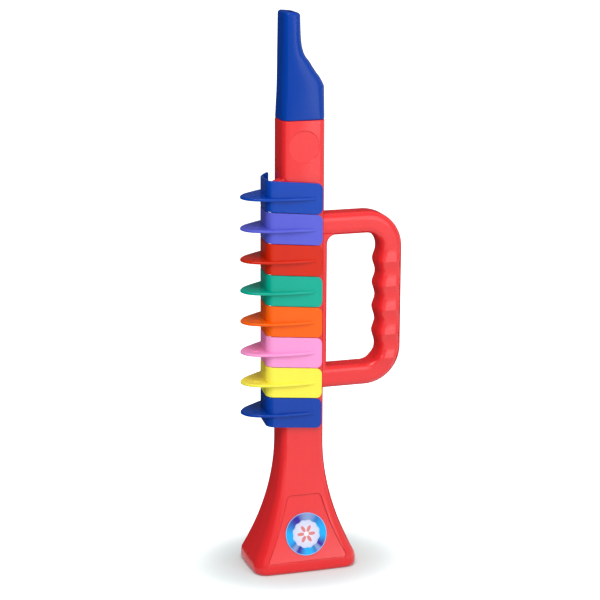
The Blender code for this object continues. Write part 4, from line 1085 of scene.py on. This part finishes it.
def makeSprings():
    rule, y, wire = shapeTree("Wound wire", coil, springRule), spigot["y"], coil["Wire Radius"]
    for i in range(keys["count"]):
        low = -frontAt(y) + keys["wall"] + spring["clear"] + wire
        high = -bodyHalfX(keyZ(i)) - spring["clear"] - wire
        piece = addPiece(f"returnSpring{i + 1}", bpy.data.meshes.new("spring"))
        runTree(piece, rule, {**coil, "Length": high - low})
        piece.data.transform(Matrix.Translation((low, y, keyZ(i))))
        finishPiece(piece, "trumpet_body", steelWire, [f"key_spring_{i + 1}"])
        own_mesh(piece)


makeRod()
makePads()
makeSprings()
print("rod, pads and springs finished")


# Round label
label = {"z": 26.2, "radius": 14.6, "thickness": 0.25, "rings": 12, "sides": 96, "sink": 0.15, "above": 0.3}


def labelMaterial():
    # A blue and cyan ring whose bands and pale streaks are a painted foil sheen, round a pale scalloped
    # centre with six red petals, on glossy film, read from the label's own map
    material, shader, s = newMaterial("Printed film")
    flat = s.node("ShaderNodeSeparateXYZ", Vector=s.node("ShaderNodeUVMap").outputs[0]).outputs
    x, y = s.less(flat[0], 0.5), s.less(flat[1], 0.5)
    radius = s.times(s.do("SQRT", s.add(s.times(x, x), s.times(y, y))), 2.0)
    turn = s.do("ARCTAN2", y, x)
    # Painted foil sheen: the ring's colour turns with the angle round the centre, and pale streaks stand for
    # the foil's glints
    waves = s.add(s.add(s.times(turn, 3.0), -0.37), s.times(s.do("COSINE", turn), 1.64))
    ring = s.mix(s.ramp(s.do("SINE", waves), -0.85, 0.75), (0.040, 0.022, 0.330), (0.012, 0.400, 0.860))
    paintedFoilGlint = s.ramp(s.do("SINE", s.add(waves, 3.7)), 0.70, 1.0)
    ring = s.mix(s.times(paintedFoilGlint, 0.45), ring, (0.480, 0.720, 0.950))
    wavy = s.add(radius, s.times(s.do("COSINE", s.times(turn, 12.0)), 0.018))
    lilac = s.mix(s.ramp(radius, 0.10, 0.58), (0.780, 0.760, 0.860), (0.640, 0.650, 0.830))
    petals = s.times(s.do("ABSOLUTE", s.do("COSINE", s.times(turn, 3.0))), 0.44)
    petal = s.times(s.ramp(s.less(petals, radius), 0.0, 0.012), 0.8)
    lilac = s.mix(petal, lilac, (0.700, 0.090, 0.060))
    lilac = s.mix(s.ramp(radius, 0.125, 0.11), lilac, (0.820, 0.800, 0.880))
    colour = s.mix(s.ramp(wavy, 0.625, 0.605), ring, lilac)
    outline = s.ramp(s.do("ABSOLUTE", s.less(wavy, 0.635)), 0.018, 0.008)
    colour = s.mix(outline, colour, (0.620, 0.720, 0.900))
    colour = s.mix(s.ramp(radius, 0.965, 0.975), colour, (0.300, 0.500, 0.880))
    s.feed(shader.inputs["Base Color"], colour)
    film = s.noise(s.place(), scale=160.0, detail=3.0)
    s.feed(shader.inputs["Roughness"], s.add(0.2, s.times(film, 0.12)))
    shader.inputs["Specular IOR Level"].default_value = 0.14
    bumpInto(s, shader, film, 0.2, 0.0003)
    return material


def makeLabel():
    radius, middle, sides = label["radius"], label["z"], label["sides"]
    lift = panel["depth"] + body["Crown"] - label["sink"]
    tall = math.cos(math.atan2(bodyHalfY(middle - radius) - bodyHalfY(middle + radius), 2 * radius))
    bm = bmesh.new()
    labelMap = bm.loops.layers.uv.new("Label map")
    flat = {}

    def spot(share, turn):
        x, z = radius * share * math.cos(turn), middle + radius * share * math.sin(turn) * tall
        vertex = bm.verts.new((x, lift - bodyHalfY(z) - label["above"], z))
        flat[vertex] = (0.5 + 0.5 * share * math.cos(turn), 0.5 + 0.5 * share * math.sin(turn))
        return vertex

    centre = spot(0, 0)
    rings = [[spot((n + 1) / label["rings"], fullTurn * i / sides) for i in range(sides)]
             for n in range(label["rings"])]
    for i in range(sides):
        j = (i + 1) % sides
        bm.faces.new((centre, rings[0][i], rings[0][j]))
        for low, high in zip(rings, rings[1:]):
            bm.faces.new((low[i], high[i], high[j], low[j]))
    for face in bm.faces:
        for loop in face.loops:
            loop[labelMap].uv = flat[loop.vert]
    piece = addPiece("roundLabel", meshOf(bm, "label", False))
    film = piece.modifiers.new("Film", "SOLIDIFY")
    film.thickness = label["thickness"]
    film.offset = 1
    finishPiece(piece, "trumpet_body", labelMaterial(), ["bell_sticker"])


makeLabel()
print("label finished")


# Inner nodes keep their solids and get finished materials; the first name that fits counts
carriedFinishes = {"chamber_plug": plastics["inner"], "reed_plate_screw": steelWire,
                   "reed_plate": plastics["plate"], "reed_gasket": gasketRubber, "reed_": reedBrass}
for name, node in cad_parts.items():
    material = next((carriedFinishes[start] for start in carriedFinishes if name.startswith(start)), None)
    if material:
        for slot in node.material_slots:
            slot.material = material
print("inner nodes finished")


# Floor, light and camera; a lamp has its power, place and size, a card its tone and outline
studio = {
    "camera": (-0.4296, -1.2842, 0.5256), "target": (-0.01384, 0.0, 0.186), "lens": 124.4, "roll": 0.25,
    "ambient": 0.47,
    "lamps": {"Key": (6.5, (0.66, -1.36, 0.72), 0.9), "Top": (11.5, (-0.35, -0.75, 1.25), 0.8),
              "Side": (0.9, (0.56, -1.26, 0.20), 0.25)},
    # Near the bell the floor's glow stays low and only rises to full white further out: a painted shadow
    # round the bell's foot, on top of the real one
    "floorTone": (0.72, 0.80, 0.80), "paintedShadowGlow": 0.06, "farGlow": 1.0, "paintedShadowInner": 0.025, "paintedShadowOuter": 0.105,
    "paintedShadowCentre": (-0.0147, 0.0, 0.0), "paintedShadowShape": (0.77, 1.0, 1.0), "floorSize": 6,
    "cards": {"leftCard": (0.03, ((-0.50, -0.45), (-0.62, 0.10), (-0.50, 0.55), (-0.10, 0.75))),
              "backCard": (0.12, ((-0.10, 0.75), (0.40, 0.85), (1.10, 0.80)))}, "cardTop": 1.4,
    "ground": (((-1.2, -0.45), (-0.06, 1.0)), ((-0.06, 0.04), (1.2, 1.0))), "groundZ": 0.002,
    "groundTone": 0.03,
}


def whiteRays(s):
    # 1 for what the camera sees, straight, mirrored or through a clear piece
    path = s.node("ShaderNodeLightPath").outputs
    seen = s.do("MAXIMUM", path["Is Camera Ray"], path["Is Transmission Ray"])
    return s.do("MAXIMUM", seen, path["Is Glossy Ray"])


def makeWorld():
    world = bpy.data.worlds.new("Pale studio")
    scene.world = world
    world.use_nodes = True
    s = Sums(world.node_tree)
    mix = s.node("ShaderNodeMix")
    for index, value in ((0, whiteRays(s)), (2, studio["ambient"]), (3, 1.0)):
        s.feed(mix.inputs[index], value)
    back = world.node_tree.nodes["Background"]
    back.inputs["Color"].default_value = (1, 1, 1, 1)
    s.feed(back.inputs["Strength"], mix.outputs[0])


def makeFloor():
    bm = bmesh.new()
    bmesh.ops.create_grid(bm, x_segments=8, y_segments=8, size=studio["floorSize"])
    floor = addPiece("paleFloor", meshOf(bm, "floor"))
    material, shader, s = newMaterial("Pale floor")
    grain = s.node("ShaderNodeTexNoise", Scale=40.0, Detail=2.0)
    s.feed(shader.inputs["Base Color"], (*studio["floorTone"], 1))
    s.feed(shader.inputs["Roughness"], s.add(0.75, s.times(grain.outputs[0], 0.1)))
    shader.inputs["Specular IOR Level"].default_value = 0.0
    shader.inputs["Emission Color"].default_value = (1, 1, 1, 1)
    # The emission is low round the bell's foot and full further out, a painted shadow added to the real one
    where = s.place()
    for operation, label in (("SUBTRACT", "paintedShadowCentre"), ("MULTIPLY", "paintedShadowShape")):
        step = s.node("ShaderNodeVectorMath")
        step.operation = operation
        s.feed(step.inputs[0], where)
        s.feed(step.inputs[1], studio[label])
        where = step.outputs[0]
    away = s.node("ShaderNodeVectorMath", Vector=where)
    away.operation = "LENGTH"
    glowWithPaintedShadow = s.node("ShaderNodeMapRange", Value=away.outputs["Value"], From_Min=studio["paintedShadowInner"],
                  From_Max=studio["paintedShadowOuter"], To_Min=studio["paintedShadowGlow"], To_Max=studio["farGlow"])
    glowWithPaintedShadow.interpolation_type = "SMOOTHERSTEP"
    s.feed(shader.inputs["Emission Strength"], s.times(whiteRays(s), glowWithPaintedShadow.outputs[0]))
    floor.data.materials.append(material)


def standCard(name, bm, tone):
    material, shader, s = newMaterial(name)
    shader.inputs["Base Color"].default_value = (tone, tone, tone, 1)
    shader.inputs["Specular IOR Level"].default_value = 0.0
    card = addPiece(name, meshOf(bm, name))
    card.data.materials.append(material)
    card.visible_camera = False
    card.visible_diffuse = False
    return card


def makeCards():
    # Dark cards round the left and back, out of the picture, for the dark reflections there
    for name, (tone, outline) in studio["cards"].items():
        bm = bmesh.new()
        rows = [[bm.verts.new((x, y, z)) for z in (0, studio["cardTop"])] for x, y in outline]
        for (a, b), (c, d) in zip(rows, rows[1:]):
            bm.faces.new((a, b, d, c))
        standCard(name, bm, tone)
    bm = bmesh.new()
    for (x, y), (farX, farY) in studio["ground"]:
        bm.faces.new([bm.verts.new((a, b, studio["groundZ"]))
                      for a, b in ((x, y), (farX, y), (farX, farY), (x, farY))])
    standCard("groundCard", bm, studio["groundTone"]).visible_shadow = False


def aim(at):
    return (Vector(studio["target"]) - Vector(at)).to_track_quat("-Z", "Y")


def makeLamps():
    for name, (power, at, size) in studio["lamps"].items():
        lamp = bpy.data.lights.new(name, "AREA")
        lamp.energy = power
        lamp.size = size
        holder = addPiece(name, lamp)
        holder.location = at
        holder.rotation_euler = aim(at).to_euler()


def makeCamera():
    camera = bpy.data.cameras.new("Camera")
    camera.lens = studio["lens"]
    camera.sensor_width = 36.0
    camera.sensor_fit = "HORIZONTAL"
    holder = addPiece("Camera", camera)
    turn = aim(studio["camera"]).to_matrix().to_4x4()
    holder.matrix_world = (Matrix.Translation(studio["camera"]) @ turn
                           @ Matrix.Rotation(math.radians(studio["roll"]), 4, "Z"))
    scene.camera = holder


makeWorld()
makeFloor()
makeCards()
makeLamps()
makeCamera()
scene.view_settings.view_transform = "Standard"
print("studio finished")
